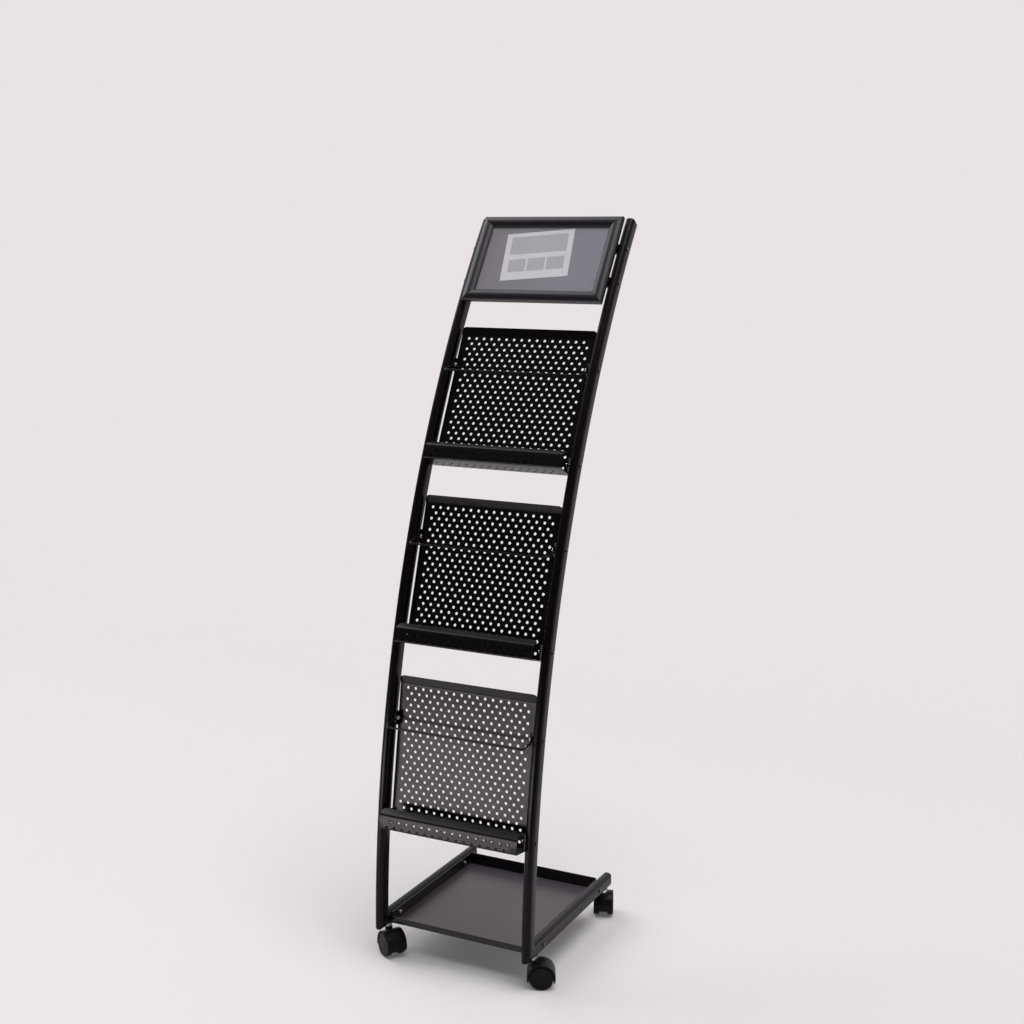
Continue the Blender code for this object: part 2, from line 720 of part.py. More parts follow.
def axle_mesh():
    reach = WEB_HALF + WHEEL_SIDE_GAP + AXLE_IN_WHEEL - GAP

    def build(bm):
        turned(bm, [(AXLE_RADIUS, -reach), (AXLE_RADIUS, reach)], AXLE_SIDES,
               Matrix.Rotation(math.radians(90), 4, "X"))

    return mesh_of(build)


def wheel_mesh():
    """Wheel about its axle, with a blind bore; the plain face is at +Y."""
    near = WEB_HALF + WHEEL_SIDE_GAP
    far = near + WHEEL_THICK
    hole = bore(AXLE_RADIUS, WHEEL_SIDES)
    tread = WHEEL_RADIUS / math.cos(math.pi / WHEEL_SIDES)

    def build(bm):
        turned(bm, [(hole, near + AXLE_IN_WHEEL), (hole, near), (tread, near), (tread, far - WHEEL_CHAMFER),
                    (tread - WHEEL_CHAMFER, far)], WHEEL_SIDES, Matrix.Rotation(math.radians(-90), 4, "X"))

    return mesh_of(build)


def depth_middle():
    """Y of the middle between the lowest lip's front corner and the caps' back corner."""
    (_, y, _), lean = chord(FIRST_BOLT, BOLT_SPACING, BOLT_DEPTH)
    front = y - (LIP_DEPTH - PANEL_BEHIND) * math.cos(lean) - FLOOR_DROP * math.sin(lean)
    turn = UPRIGHT_LENGTH / BOW_RADIUS
    end, _ = bow(UPRIGHT_LENGTH, TUBE_DEPTH)
    return (front + end + (GAP + CAP_THICK - CAP_ROUND) * math.sin(turn)) / 2


def build_frames(rack, steel, plastic):
    cap = cap_mesh()
    top_y, top_z = bow(UPRIGHT_LENGTH, 0)
    turn = UPRIGHT_LENGTH / BOW_RADIUS
    for side, word in ((-1, "left"), (1, "right")):
        x = side * FRAME_X
        place(f"side_frame_{word}", side_frame_mesh(side), steel, rack, (x, 0, 0))
        place(f"top_cap_{word}", cap.copy(), plastic, rack, (x, top_y, top_z), (-turn, 0, 0))
        place(f"rail_cap_{word}", cap.copy(), plastic, rack, (x, RAIL_LENGTH, RAIL_BOTTOM),
              (math.radians(90), 0, math.radians(180)))


def build_trays(rack, steel, zinc):
    panel = panel_mesh()
    tray = tray_mesh()
    wire = wire_mesh()
    bolt = pivot_bolt_mesh()
    for name, start in zip(TRAY_NAMES, tray_bolts()):
        location, lean = chord(start, BOLT_SPACING, BOLT_DEPTH)
        frame = empty(f"{name}_tray_frame", rack, location, (-lean, 0, 0))
        place(f"back_panel_{name}", panel.copy(), steel, frame)
        place(f"tray_{name}", tray.copy(), steel, frame)
        y, z = bow(start + BOLT_SPACING, BOLT_DEPTH)
        place(f"guard_wire_{name}", wire.copy(), steel, rack, (0, y, z), (math.radians(WIRE_DROOP), 0, 0))
        for turn, word in ((0, "right"), (180, "left")):
            place(f"pivot_bolt_{name}_{word}", bolt.copy(), zinc, rack, (0, y, z), (0, 0, math.radians(turn)))


def build_sign(rack, look, clear, paper, zinc):
    location, lean = chord(SIGN_BOLT_MID - SIGN_BOLT_SPACING / 2, SIGN_BOLT_SPACING, SIGN_BOLT_DEPTH)
    bolts = empty("sign_bolt_frame", rack, location, (-lean, 0, 0))
    bracket = bracket_mesh()
    for level, word in ((0, "lower"), (SIGN_CHORD, "upper")):
        for turn, side in ((0, "right"), (180, "left")):
            place(f"sign_bracket_{word}_{side}", bracket.copy(), look, bolts, (0, 0, level),
                  (0, math.radians(turn), 0))
    back = -SIGN_BOLT_DEPTH - SIGN_STANDOFF
    sign = empty("sign_frame", bolts, (0, back, SIGN_CHORD / 2 + SIGN_RISE))
    place("sign_base", sign_base_mesh(), look, sign)
    level = SIGN_FLOOR + GAP
    sheets = (("sign_back_plate", PLATE_THICK, look), ("sign_insert", INSERT_THICK, paper),
              ("sign_cover_sheet", COVER_THICK, clear))
    for name, thickness, finish in sheets:
        place(name, sign_sheet_mesh(level, thickness), finish, sign)
        level += thickness + GAP
    spring = spring_mesh()
    half_x, half_z = sign_half(0)
    hinge = -SIGN_WALL_HEIGHT - GAP
    edges = (("top", (0, hinge, half_z), 0, SIGN_WIDTH),
             ("right", (half_x, hinge, 0), 90, SIGN_HEIGHT),
             ("bottom", (0, hinge, -half_z), 180, SIGN_WIDTH),
             ("left", (-half_x, hinge, 0), 270, SIGN_HEIGHT))
    for word, spot, turn, length in edges:
        rotation = (0, math.radians(turn), 0)
        place(f"snap_rail_{word}", snap_rail_mesh(length), look, sign, spot, rotation)
        place(f"snap_spring_{word}", spring.copy(), zinc, sign, spot, rotation)


def build_casters(rack, nylon, zinc):
    stem = stem_mesh()
    hood = hood_mesh()
    axle = axle_mesh()
    wheel = wheel_mesh()
    turns = {("front", "right"): FRONT_RIGHT_TURN, ("front", "left"): FRONT_LEFT_TURN,
             ("rear", "right"): REAR_RIGHT_TURN, ("rear", "left"): REAR_LEFT_TURN}
    places = stem_places()
    for (end, side), turn in turns.items():
        word = f"{end}_{side}"
        x = FRAME_X if side == "right" else -FRAME_X
        swivel = empty(f"swivel_{word}", rack, (x, places[end], 0), (0, 0, math.radians(turn)))
        place(f"caster_stem_{word}", stem.copy(), zinc, rack, (x, places[end], 0))
        place(f"caster_hood_{word}", hood.copy(), nylon, swivel)
        centre = (TRAIL, 0, WHEEL_RADIUS)
        place(f"caster_axle_{word}", axle.copy(), zinc, swivel, centre)
        place(f"caster_wheel_{word}_a", wheel.copy(), nylon, swivel, centre)
        place(f"caster_wheel_{word}_b", wheel.copy(), nylon, swivel, centre, (0, 0, math.radians(180)))


def main():
    clear_scene()
    steel = material("black_powder_coat", (0.012, 0.012, 0.013), 0.42, 0.0)
    plastic = material("black_plastic", (0.010, 0.010, 0.011), 0.5, 0.0)
    nylon = material("caster_nylon", (0.008, 0.008, 0.009), 0.38, 0.0)
    zinc = material("zinc_plate", (0.62, 0.62, 0.60), 0.3, 1.0)
    frame_black = material("sign_black", (0.014, 0.013, 0.015), 0.35, 0.0)
    paper = material("insert_grey", (0.22, 0.20, 0.24), 0.8, 0.0)
    clear = material("clear_cover", (0.8, 0.8, 0.8), 0.1, 0.0)
    rack = empty("rack", location=(0, -depth_middle(), 0))
    build_frames(rack, steel, plastic)
    build_trays(rack, steel, zinc)
    place("base_tray", base_tray_mesh(), steel, rack)
    build_sign(rack, frame_black, clear, paper, zinc)
    build_casters(rack, nylon, zinc)


main()
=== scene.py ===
# %% [markdown]
# # Dressing a periodical display rack
# The rack is a curved, wheeled magazine stand in black powder-coated steel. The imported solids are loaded
# first, as a fixed frame: they say where every piece is and what it turns on. The lesson then models the
# pieces whose surface matters, gives every piece a finish, and sets up a plain studio.

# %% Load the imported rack
import json
import math
from contextlib import contextmanager

import bmesh
import bpy
from mathutils import Matrix, Vector


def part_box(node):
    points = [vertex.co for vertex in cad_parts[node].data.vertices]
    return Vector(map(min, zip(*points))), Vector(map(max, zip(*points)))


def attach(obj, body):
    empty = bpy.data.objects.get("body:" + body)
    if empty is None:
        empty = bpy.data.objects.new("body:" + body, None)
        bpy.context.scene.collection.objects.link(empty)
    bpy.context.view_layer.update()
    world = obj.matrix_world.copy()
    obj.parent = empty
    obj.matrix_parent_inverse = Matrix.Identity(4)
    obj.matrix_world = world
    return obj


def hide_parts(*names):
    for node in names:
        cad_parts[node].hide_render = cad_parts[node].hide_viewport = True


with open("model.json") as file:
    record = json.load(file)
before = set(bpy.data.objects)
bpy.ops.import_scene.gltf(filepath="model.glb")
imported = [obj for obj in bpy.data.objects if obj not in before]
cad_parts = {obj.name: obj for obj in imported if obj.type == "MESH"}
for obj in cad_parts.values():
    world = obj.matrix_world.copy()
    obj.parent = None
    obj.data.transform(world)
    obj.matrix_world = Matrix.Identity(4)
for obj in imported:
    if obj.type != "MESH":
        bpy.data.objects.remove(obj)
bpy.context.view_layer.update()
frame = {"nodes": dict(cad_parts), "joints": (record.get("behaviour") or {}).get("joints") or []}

nodes = frame["nodes"]
joints = {joint["name"]: joint for joint in frame["joints"]}
TRAYS = ("lower", "middle", "upper")
SIDES = (("left", -1), ("right", 1))
CASTERS = ("front_right", "front_left", "rear_right", "rear_left")

# %% [markdown]
# ## Tools for modelling by hand
# Every piece below is modelled with the operators that a person would use. An operator acts on whatever is
# selected, so each step begins by clearing the selection, and the vertices, edges or faces it needs are
# then selected by their place. These helpers keep that short: they open edit mode, pick parts of a mesh,
# add a plain shape, apply a modifier, and make copies. A test by place allows a hair of error, and a face
# looks a given way when its normal has nearly all its length that way.

# %% Selecting and editing
MM = 0.001
HAIR = 0.1 * MM
SLIVER = 0.01 * MM
FACING = 0.999


def deselect():
    bpy.ops.object.select_all(action="DESELECT")


def choose(piece):
    """Selects one object alone and makes it the active one."""
    deselect()
    piece.select_set(True)
    bpy.context.view_layer.objects.active = piece


@contextmanager
def editing(piece):
    choose(piece)
    bpy.ops.object.mode_set(mode="EDIT")
    yield
    bpy.ops.object.mode_set(mode="OBJECT")


def pick_all():
    bpy.ops.mesh.select_all(action="SELECT")


def pick(piece, kind, test):
    """In edit mode, selects the vertices, edges or faces that pass the test.

    The test gets the middle of each and its normal, or for an edge its direction.
    """
    bpy.ops.mesh.select_mode(type=kind)
    bpy.ops.mesh.select_all(action="DESELECT")
    shape = bmesh.from_edit_mesh(piece.data)
    parts = {"VERT": shape.verts, "EDGE": shape.edges, "FACE": shape.faces}[kind]
    for part in parts:
        if kind == "FACE":
            passed = test(part.calc_center_median(), part.normal)
        elif kind == "EDGE":
            first, second = (vertex.co for vertex in part.verts)
            passed = test((first + second) / 2, second - first)
        else:
            passed = test(part.co, part.normal)
        part.select_set(bool(passed))
    shape.select_flush_mode()
    bmesh.update_edit_mesh(piece.data)


def pull(offset):
    bpy.ops.mesh.extrude_region_move(TRANSFORM_OT_translate={"value": offset})


def round_edges(width, segments, affect="EDGES"):
    bpy.ops.mesh.bevel(offset=width, segments=segments, affect=affect)


def fill_ends():
    """In edit mode, closes every open end with a face."""
    bpy.ops.mesh.select_mode(type="EDGE")
    bpy.ops.mesh.select_all(action="DESELECT")
    bpy.ops.mesh.select_non_manifold()
    bpy.ops.mesh.fill_holes(sides=0)


def outward(piece):
    with editing(piece):
        pick_all()
        bpy.ops.mesh.normals_make_consistent(inside=False)


# %% Adding plain shapes
UNTURNED = (0, 0, 0)
TO_SIDE = (0, math.radians(90), 0)
TO_FRONT = (math.radians(90), 0, 0)


def settle(piece):
    """Puts the object's place into its mesh."""
    choose(piece)
    bpy.ops.object.transform_apply(location=True, rotation=True, scale=True)
    return piece


def added(name, scale=(1, 1, 1)):
    """The primitive that was just added, scaled and settled."""
    piece = bpy.context.active_object
    piece.name = name
    piece.scale = scale
    return settle(piece)


def plane(name, width, length, place, turn=UNTURNED):
    deselect()
    bpy.ops.mesh.primitive_plane_add(size=1, rotation=turn, location=place)
    return added(name, (width, length, 1))


def block(name, place, size):
    deselect()
    bpy.ops.mesh.primitive_cube_add(size=1, location=place)
    return added(name, size)


def cylinder(name, radius, length, place, turn=UNTURNED, sides=32):
    deselect()
    bpy.ops.mesh.primitive_cylinder_add(vertices=sides, radius=radius, depth=length, rotation=turn,
                                        location=place)
    return added(name)


# %% Applying and copying
def modified(piece, kind, **settings):
    choose(piece)
    modifier = piece.modifiers.new(kind, kind)
    for setting, value in settings.items():
        setattr(modifier, setting, value)
    bpy.ops.object.modifier_apply(modifier=modifier.name)
    return piece


def repeated(piece, count, step):
    return modified(piece, "ARRAY", count=count, use_relative_offset=False, use_constant_offset=True,
                    constant_offset_displace=step)


def dropped(*pieces):
    for piece in pieces:
        bpy.data.objects.remove(piece, do_unlink=True)


def combined(piece, other, operation):
    """A union or a cut; vertices that fall together are merged, so that no slivers stay."""
    modified(piece, "BOOLEAN", operation=operation, solver="EXACT", object=other)
    dropped(other)
    with editing(piece):
        pick_all()
        bpy.ops.mesh.remove_doubles(threshold=SLIVER)


def copied(piece, name, matrix=Matrix()):
    choose(piece)
    bpy.ops.object.duplicate(linked=False)
    made = bpy.context.active_object
    made.name = name
    made.matrix_world = matrix
    return settle(made)


def joined(name, pieces):
    deselect()
    for piece in pieces:
        piece.select_set(True)
    bpy.context.view_layer.objects.active = pieces[0]
    bpy.ops.object.join()
    pieces[0].name = name
    return pieces[0]


# %% [markdown]
# ## Finishes as small networks
# A finish is a Principled shader with a few textures that vary its colour, its roughness and its bump. Sums
# and products of textures are written as Python sums and products: a small class wraps a node's output, and
# each operator on it adds a Math node. Patterns read Object coordinates, in metres, so they have a real
# scale on every piece.

# %% A class for shader values
class Value:
    """A node's output; arithmetic on it adds Math nodes."""

    def __init__(self, finish, socket):
        self.finish = finish
        self.socket = socket

    def math(self, operation, first, second):
        return self.finish.node("ShaderNodeMath", {"operation": operation}, {0: first, 1: second})

    def __add__(self, other):
        return self.math("ADD", self, other)

    def __rsub__(self, other):
        return self.math("SUBTRACT", other, self)

    def __mul__(self, other):
        return self.math("MULTIPLY", self, other)

    __radd__ = __add__
    __rmul__ = __mul__


class Network:
    """A node tree under construction, with one method that adds any node."""

    def __init__(self, owner):
        owner.use_nodes = True
        self.tree = owner.node_tree

    def link(self, socket, value):
        if isinstance(value, Value):
            self.tree.links.new(value.socket, socket)
        else:
            socket.default_value = value

    def node(self, kind, settings=None, inputs=None, output=0):
        made = self.tree.nodes.new(kind)
        for setting, value in (settings or {}).items():
            setattr(made, setting, value)
        for socket, value in (inputs or {}).items():
            self.link(made.inputs[socket], value)
        return Value(self, made.outputs[output])

    def place(self, stretch=(1, 1, 1)):
        spot = self.node("ShaderNodeTexCoord", output="Object")
        return self.node("ShaderNodeMapping", {}, {"Vector": spot, "Scale": stretch})

    def noise(self, scale, detail, stretch=(1, 1, 1)):
        inputs = {"Vector": self.place(stretch), "Scale": scale, "Detail": detail}
        return self.node("ShaderNodeTexNoise", {}, inputs, "Fac")

    def between(self, value, low, high):
        """The value, from 0 below low to 1 above high."""
        inputs = {"Value": value, "From Min": low, "From Max": high}
        return self.node("ShaderNodeMapRange", {"clamp": True}, inputs)

    def part(self, vector, axis):
        return self.node("ShaderNodeSeparateXYZ", {}, {0: vector}, axis)

    def mixed(self, factor, first, second):
        """A blend of two colours: a Mix node has its colours at inputs 6 and 7 and its blend at output 2."""
        first, second = [(*colour, 1) if isinstance(colour, tuple) else colour for colour in (first, second)]
        return self.node("ShaderNodeMix", {"data_type": "RGBA"}, {0: factor, 6: first, 7: second}, 2)


class Finish(Network):
    """A material with a Principled shader."""

    def __init__(self, name, roughness=0.5, metallic=0.0, **constants):
        self.material = bpy.data.materials.new(name)
        super().__init__(self.material)
        self.shader = self.tree.nodes["Principled BSDF"]
        self.shader.inputs["Roughness"].default_value = roughness
        self.shader.inputs["Metallic"].default_value = metallic
        for socket, constant in constants.items():
            self.shader.inputs[socket].default_value = constant

    def set(self, socket, value):
        self.link(self.shader.inputs[socket], value)

    def upward(self):
        """How far a face looks up: 1 for a floor, 0 for a wall."""
        normal = self.node("ShaderNodeNewGeometry", output="Normal")
        return self.between(self.part(normal, "Z"), low=0.3, high=1.0)

    def bump(self, height, strength, distance):
        inputs = {"Height": height, "Strength": strength, "Distance": distance}
        self.set("Normal", self.node("ShaderNodeBump", {}, inputs))


# %% [markdown]
# ## Black powder coat
# The steel is sprayed with dry paint and baked. The skin is near black and satin, with a fine orange peel
# about a millimetre wide, a slow drift in gloss, and a paler tone on faces that look up, which is a trace of
# dust together with painted top light. A noise at three scales gives the drift, the paler tone and the peel,
# and the paler tone is a colour mixed in by the direction of the surface. One recipe makes four coats, which
# differ in how strongly they mirror, set by the index of refraction, and in how pale the tone on their
# upward
# faces is: one for the trays, two duller ones for the tubes and the wires, and a glossier one with the
# palest tone for the base tray, where it is mostly painted light from above, with a little dust.

# %% Powder coat
COAT_BLACK = (0.0042, 0.0026, 0.0044)
COAT_ROUGHNESS = 0.19
DUST_AND_LIGHT_COVER = 0.5


def powder_coat(name, refraction, dust_and_top_light):
    finish = Finish(name, IOR=refraction)
    drift = finish.noise(scale=14, detail=2)
    # Faces that look up get a paler colour: a trace of dust, and painted top light, most of all on the base
    # tray.
    dust = finish.upward() * (0.8 + 0.2 * finish.noise(scale=60, detail=4))
    finish.set("Base Color", finish.mixed(dust * DUST_AND_LIGHT_COVER, COAT_BLACK, dust_and_top_light))
    finish.set("Roughness", COAT_ROUGHNESS + 0.08 * drift + 0.10 * dust)
    finish.bump(finish.noise(scale=900, detail=2), strength=0.10, distance=0.15 * MM)
    return finish.material


powder = powder_coat("black_powder_coat", refraction=1.30, dust_and_top_light=(0.030, 0.024, 0.030))
tube_coat = powder_coat("tube_coat", refraction=1.23, dust_and_top_light=(0.046, 0.037, 0.048))
wire_coat = powder_coat("wire_coat", refraction=1.22, dust_and_top_light=(0.020, 0.018, 0.020))
# The base tray's pale upward tone is mostly painted light from above, with a little dust.
base_coat = powder_coat("base_coat", refraction=1.42, dust_and_top_light=(0.150, 0.128, 0.152))
print("coats:", powder.name, tube_coat.name, wire_coat.name, base_coat.name)

# %% [markdown]
# ## The other finishes
# Caps and casters are moulded plastic: one with a fine matt grain, one a smoother and deeper black nylon
# with scuffs. The sign's rails are black anodised aluminium with faint lines along their length. Fasteners
# are zinc plated, a bright grey metal with soft clouds in its gloss, and the heads on the outside are
# blackened. In the sign are a grey board, with painted shade that darkens it towards the left, a clear film,
# and printed paper in two tones.

# %% Plastics
def cap_plastic():
    dark, pale = (0.0055, 0.0050, 0.0060), (0.0090, 0.0085, 0.0095)
    finish = Finish("black_plastic", IOR=1.48)
    grain = finish.noise(scale=1600, detail=3)
    finish.set("Base Color", finish.mixed(finish.noise(scale=40, detail=2), dark, pale))
    finish.set("Roughness", 0.38 + 0.15 * grain)
    finish.bump(grain, strength=0.12, distance=0.1 * MM)
    return finish.material


def caster_nylon():
    clean, worn = (0.0045, 0.0042, 0.0048), (0.030, 0.029, 0.030)
    finish = Finish("caster_nylon", IOR=1.22)
    scuff = finish.between(finish.noise(scale=220, detail=5), low=0.55, high=0.8)
    dust = finish.upward() * finish.between(finish.noise(scale=90, detail=4), low=0.4, high=0.8)
    finish.set("Base Color", finish.mixed(dust * 0.5 + scuff * 0.2, clean, worn))
    finish.set("Roughness", 0.34 + 0.20 * scuff)
    finish.bump(finish.noise(scale=1100, detail=2), strength=0.06, distance=0.1 * MM)
    return finish.material


plastic, nylon = cap_plastic(), caster_nylon()
print("plastics:", plastic.name, nylon.name)

# %% Metals
ACROSS, UPRIGHT = (0.02, 1, 1), (1, 0.02, 0.02)


def zinc_plate():
    dull, bright = (0.66, 0.66, 0.65), (0.88, 0.88, 0.87)
    finish = Finish("zinc_plate", metallic=1.0)
    cloud = finish.noise(scale=500, detail=4)
    finish.set("Base Color", finish.mixed(cloud, dull, bright))
    finish.set("Roughness", 0.22 + 0.20 * cloud)
    finish.bump(finish.noise(scale=2500, detail=2), strength=0.08, distance=0.05 * MM)
    return finish.material


def black_screw():
    black, rubbed = (0.0060, 0.0055, 0.0065), (0.030, 0.030, 0.030)
    finish = Finish("black_screw", IOR=1.7)
    wear = finish.between(finish.noise(scale=900, detail=4), low=0.55, high=0.8)
    finish.set("Base Color", finish.mixed(wear, black, rubbed))
    finish.set("Roughness", 0.18 + 0.15 * wear)
    return finish.material


def anodised(name, stretch):
    dark, pale = (0.0115, 0.0075, 0.0140), (0.0160, 0.0118, 0.0190)
    finish = Finish(name, IOR=1.5)
    lines = finish.noise(scale=400, detail=3, stretch=stretch)
    finish.set("Base Color", finish.mixed(lines, dark, pale))
    finish.set("Roughness", 0.27 + 0.12 * lines)
    finish.bump(lines, strength=0.05, distance=0.05 * MM)
    return finish.material


zinc, blackened = zinc_plate(), black_screw()
anodised_across, anodised_up = anodised("anodised_across", ACROSS), anodised("anodised_up", UPRIGHT)
print("metals:", zinc.name, blackened.name, anodised_across.name, anodised_up.name)


# %% Sign sheets
def grey_board():
    left, right = (0.135, 0.112, 0.130), (0.215, 0.198, 0.265)
    finish = Finish("insert_grey", roughness=0.55)
    fibre = finish.noise(scale=700, detail=4)
    # Painted shade: the board darkens and browns towards the left, next to the frame's rail.
    painted_shade_fade = finish.between(finish.part(finish.place(), "X"), low=-0.15, high=0.05)
    finish.set("Base Color", finish.mixed(painted_shade_fade * 0.8 + 0.2 * fibre, left, right))
    finish.bump(fibre, strength=0.08, distance=0.1 * MM)
    return finish.material


def clear_film():
    low, high = (0.80, 0.80, 0.83), (0.86, 0.86, 0.88)
    finish = Finish("clear_cover", roughness=0.06, Alpha=0.10, IOR=1.45)
    finish.set("Base Color", finish.mixed(finish.noise(scale=6, detail=2), low, high))
    return finish.material


def leaflet_paper(name, low, high):
    finish = Finish(name, roughness=0.5)
    finish.set("Base Color", finish.mixed(finish.noise(scale=260, detail=5), low, high))
    finish.bump(finish.noise(scale=900, detail=3), strength=0.05, distance=0.05 * MM)
    return finish.material


board, film = grey_board(), clear_film()
paper = leaflet_paper("leaflet_paper", (0.80, 0.79, 0.83), (0.88, 0.87, 0.91))
tint = leaflet_paper("leaflet_tint", (0.47, 0.47, 0.50), (0.58, 0.57, 0.61))
print(len(bpy.data.materials), "materials")


# %% [markdown]
# ## Dressing a piece
# A finished piece gets its shading, its finish, the body that it rides on and the solids that it stands for.
# Solids that are already right keep their own mesh and only get a finish.

# %% Dress
SHARP = math.radians(35)


def dress(piece, body, look, slot, *stands_for):
    choose(piece)
    bpy.ops.object.shade_smooth_by_angle(angle=SHARP)
    piece.data.materials.clear()
    piece.data.materials.append(look)
    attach(piece, body)
    if stands_for:
        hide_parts(*stands_for)
    print(piece.name, len(piece.data.polygons), "faces on", body)


def kept(look, *names):
    for name in names:
        nodes[name].data.materials.clear()
        nodes[name].data.materials.append(look)


# %% [markdown]
# ## Where the trays are
# Each tray is a folded sheet that leans with the upright. A matrix at its upper bolts, with Z up the panel
# and Y to the back, lets one tray be modelled upright and copied to all three places. The lean is read from
# the solid's largest face, and the sizes from the solid's box in that frame.

# %% Tray frames
def leaning(node, origin):
    largest = max(nodes[node].data.polygons, key=lambda face: face.area)
    lean = math.atan2(abs(largest.normal.z), abs(largest.normal.y))
    return Matrix.Translation(origin) @ Matrix.Rotation(-lean, 4, "X")


def local_box(node, matrix):
    inverse = matrix.inverted()
    places = [inverse @ vertex.co for vertex in nodes[node].data.vertices]
    low = Vector([min(place[axis] for place in places) for axis in range(3)])
    high = Vector([max(place[axis] for place in places) for axis in range(3)])
    return low, high


tray_frames = {tray: leaning(f"back_panel_{tray}", joints[f"swing_{tray}"]["pos_m"]) for tray in TRAYS}
panel_low, panel_high = local_box("back_panel_lower", tray_frames["lower"])
tray_low, tray_high = local_box("tray_lower", tray_frames["lower"])
for tray, matrix in tray_frames.items():
    print(tray, "tray leans", round(-math.degrees(matrix.to_euler().x), 1), "degrees")

# %% [markdown]
# ## The perforated back panel
# The panel is one sheet: a flat field of holes, a strip along the top bent a little to the front with
# clipped corners, and four ears that stand forward to the bolts. It starts as a plane, the top edge is
# extruded, the bend is beveled, and Solidify gives the sheet its thickness. The holes are cut in one go by
# an array of cylinders, which is quicker and more even than cutting each.

# %% Panel sheet
SHEET = 1.5 * MM
TOP_ROW = 61 * MM
TOP_BAND = 7 * MM
FLANGE = 16.5 * MM
FLANGE_LEAN = math.radians(15)
FLANGE_CLIP = 7 * MM
BEND = 3 * MM
panel_front = panel_high.y - SHEET
fold = TOP_ROW + TOP_BAND


def flat_sheet(name, width, low, high, depth):
    """A sheet that stands upright and faces the front."""
    return plane(name, width, high - low, (0, depth, (low + high) / 2), TO_FRONT)


panel = flat_sheet("panel", 2 * panel_high.x, panel_low.z, fold, panel_front)
with editing(panel):
    pick(panel, "EDGE", lambda middle, way: middle.z > fold - HAIR)
    pull((0, -FLANGE * math.sin(FLANGE_LEAN), FLANGE * math.cos(FLANGE_LEAN)))
    pick(panel, "VERT", lambda place, normal: place.z > fold + HAIR)
    round_edges(FLANGE_CLIP, segments=2, affect="VERTICES")
    pick(panel, "EDGE", lambda middle, way: abs(middle.z - fold) < HAIR and abs(way.x) > panel_high.x)
    round_edges(BEND, segments=4)
modified(panel, "SOLIDIFY", thickness=SHEET, offset=-1)
print("panel sheet", panel.dimensions)

# %% Ears at the bolts
EAR_HEIGHT = 28 * MM
EAR_ROUND = 6 * MM
EAR_X = 147.4 * MM
LOWER_BOLT = 18.5 * MM
bolt_spacing = -(tray_low.z + LOWER_BOLT)
ear_low, ear_high = panel_low.y, panel_front + SHEET / 2


def ear(x, z):
    size = (SHEET, ear_high - ear_low, EAR_HEIGHT)
    made = block("ear", (x, (ear_low + ear_high) / 2, z), size)
    with editing(made):
        pick(made, "EDGE", lambda middle, way: abs(way.x) > HAIR and middle.y < ear_low + HAIR)
        round_edges(EAR_ROUND, segments=5)
    return made


for side in (-1, 1):
    for height in (0, -bolt_spacing):
        combined(panel, ear(side * (EAR_X - SHEET / 2), height), "UNION")
print("panel with ears", len(panel.data.polygons), "faces")

# %% Field of holes
HOLE_RADIUS = 3 * MM
HOLE_PITCH = 17 * MM
ROW_PITCH = HOLE_PITCH * 2 / 3
HOLES = 16
HOLE_SIDES = 12
CUTTER = 4 * SHEET
PANEL_ROWS = 25
first_x = -(HOLES - 0.5) / 2 * HOLE_PITCH


def hole_field(rows, place, down, turn, stagger=1):
    """Staggered rows of cutters: every second row is moved by half a pitch, to the right or the left."""
    hole = cylinder("cutter", HOLE_RADIUS, CUTTER, place, turn, HOLE_SIDES)
    even = repeated(hole, HOLES, (HOLE_PITCH, 0, 0))
    odd = copied(even, "odd", Matrix.Translation(Vector((stagger * HOLE_PITCH / 2, 0, 0)) + down))
    for cutter, count in ((even, (rows + 1) // 2), (odd, rows // 2)):
        repeated(cutter, count, 2 * down)
    return joined("cutter", [even, odd])


field = hole_field(PANEL_ROWS, (first_x, panel_front, TOP_ROW), Vector((0, 0, -ROW_PITCH)), TO_FRONT)
combined(panel, field, "DIFFERENCE")
for tray in TRAYS:
    made = copied(panel, f"perforated_panel_{tray}", tray_frames[tray])
    dress(made, "frame", powder, "black_powder_coat", f"back_panel_{tray}")
dropped(panel)

# %% [markdown]
# ## Floor, lip and hem of a tray
# The same sheet turns forward under the panel, up into a lip, and back over it as a hem. The lip's face is
# the start; the floor and the hem are extruded from its edges, and the two bends are beveled before the
# sheet gets its thickness. The rows of holes run on through the bends: two across the floor and two along
# the lip.

# %% Tray sheet
LIP_HEIGHT = 29 * MM
HEM = 18 * MM
HEM_LEAN = math.radians(58)
HEM_CLIP = 8 * MM
LIP_ROW = 16.3 * MM
LIP_ROWS = 2
FLOOR_ROWS = 2
FLOOR_ROW = 11 * MM
lip_top = tray_low.z + LIP_HEIGHT

lip = flat_sheet("lip", 2 * tray_high.x, tray_low.z, lip_top, tray_low.y)
with editing(lip):
    pick(lip, "EDGE", lambda middle, way: middle.z < tray_low.z + HAIR)
    pull((0, tray_high.y - tray_low.y, 0))
    pick(lip, "EDGE", lambda middle, way: middle.z > lip_top - HAIR)
    pull((0, HEM * math.sin(HEM_LEAN), HEM * math.cos(HEM_LEAN)))
    pick(lip, "VERT", lambda place, normal: place.z > lip_top + HAIR)
    round_edges(HEM_CLIP, segments=3, affect="VERTICES")
    for bend in (tray_low.z, lip_top):
        pick(lip, "EDGE", lambda middle, way: abs(middle.z - bend) < HAIR and middle.y < tray_low.y + HAIR
             and abs(way.x) > tray_high.x)
        round_edges(BEND, segments=4)
modified(lip, "SOLIDIFY", thickness=SHEET, offset=-1)
odd_x = first_x + HOLE_PITCH / 2
lip_start = (odd_x, tray_low.y, tray_low.z + LIP_ROW)
floor_start = (odd_x, tray_high.y - FLOOR_ROW, tray_low.z)
lip_field = hole_field(LIP_ROWS, lip_start, Vector((0, 0, -ROW_PITCH)), TO_FRONT, stagger=-1)
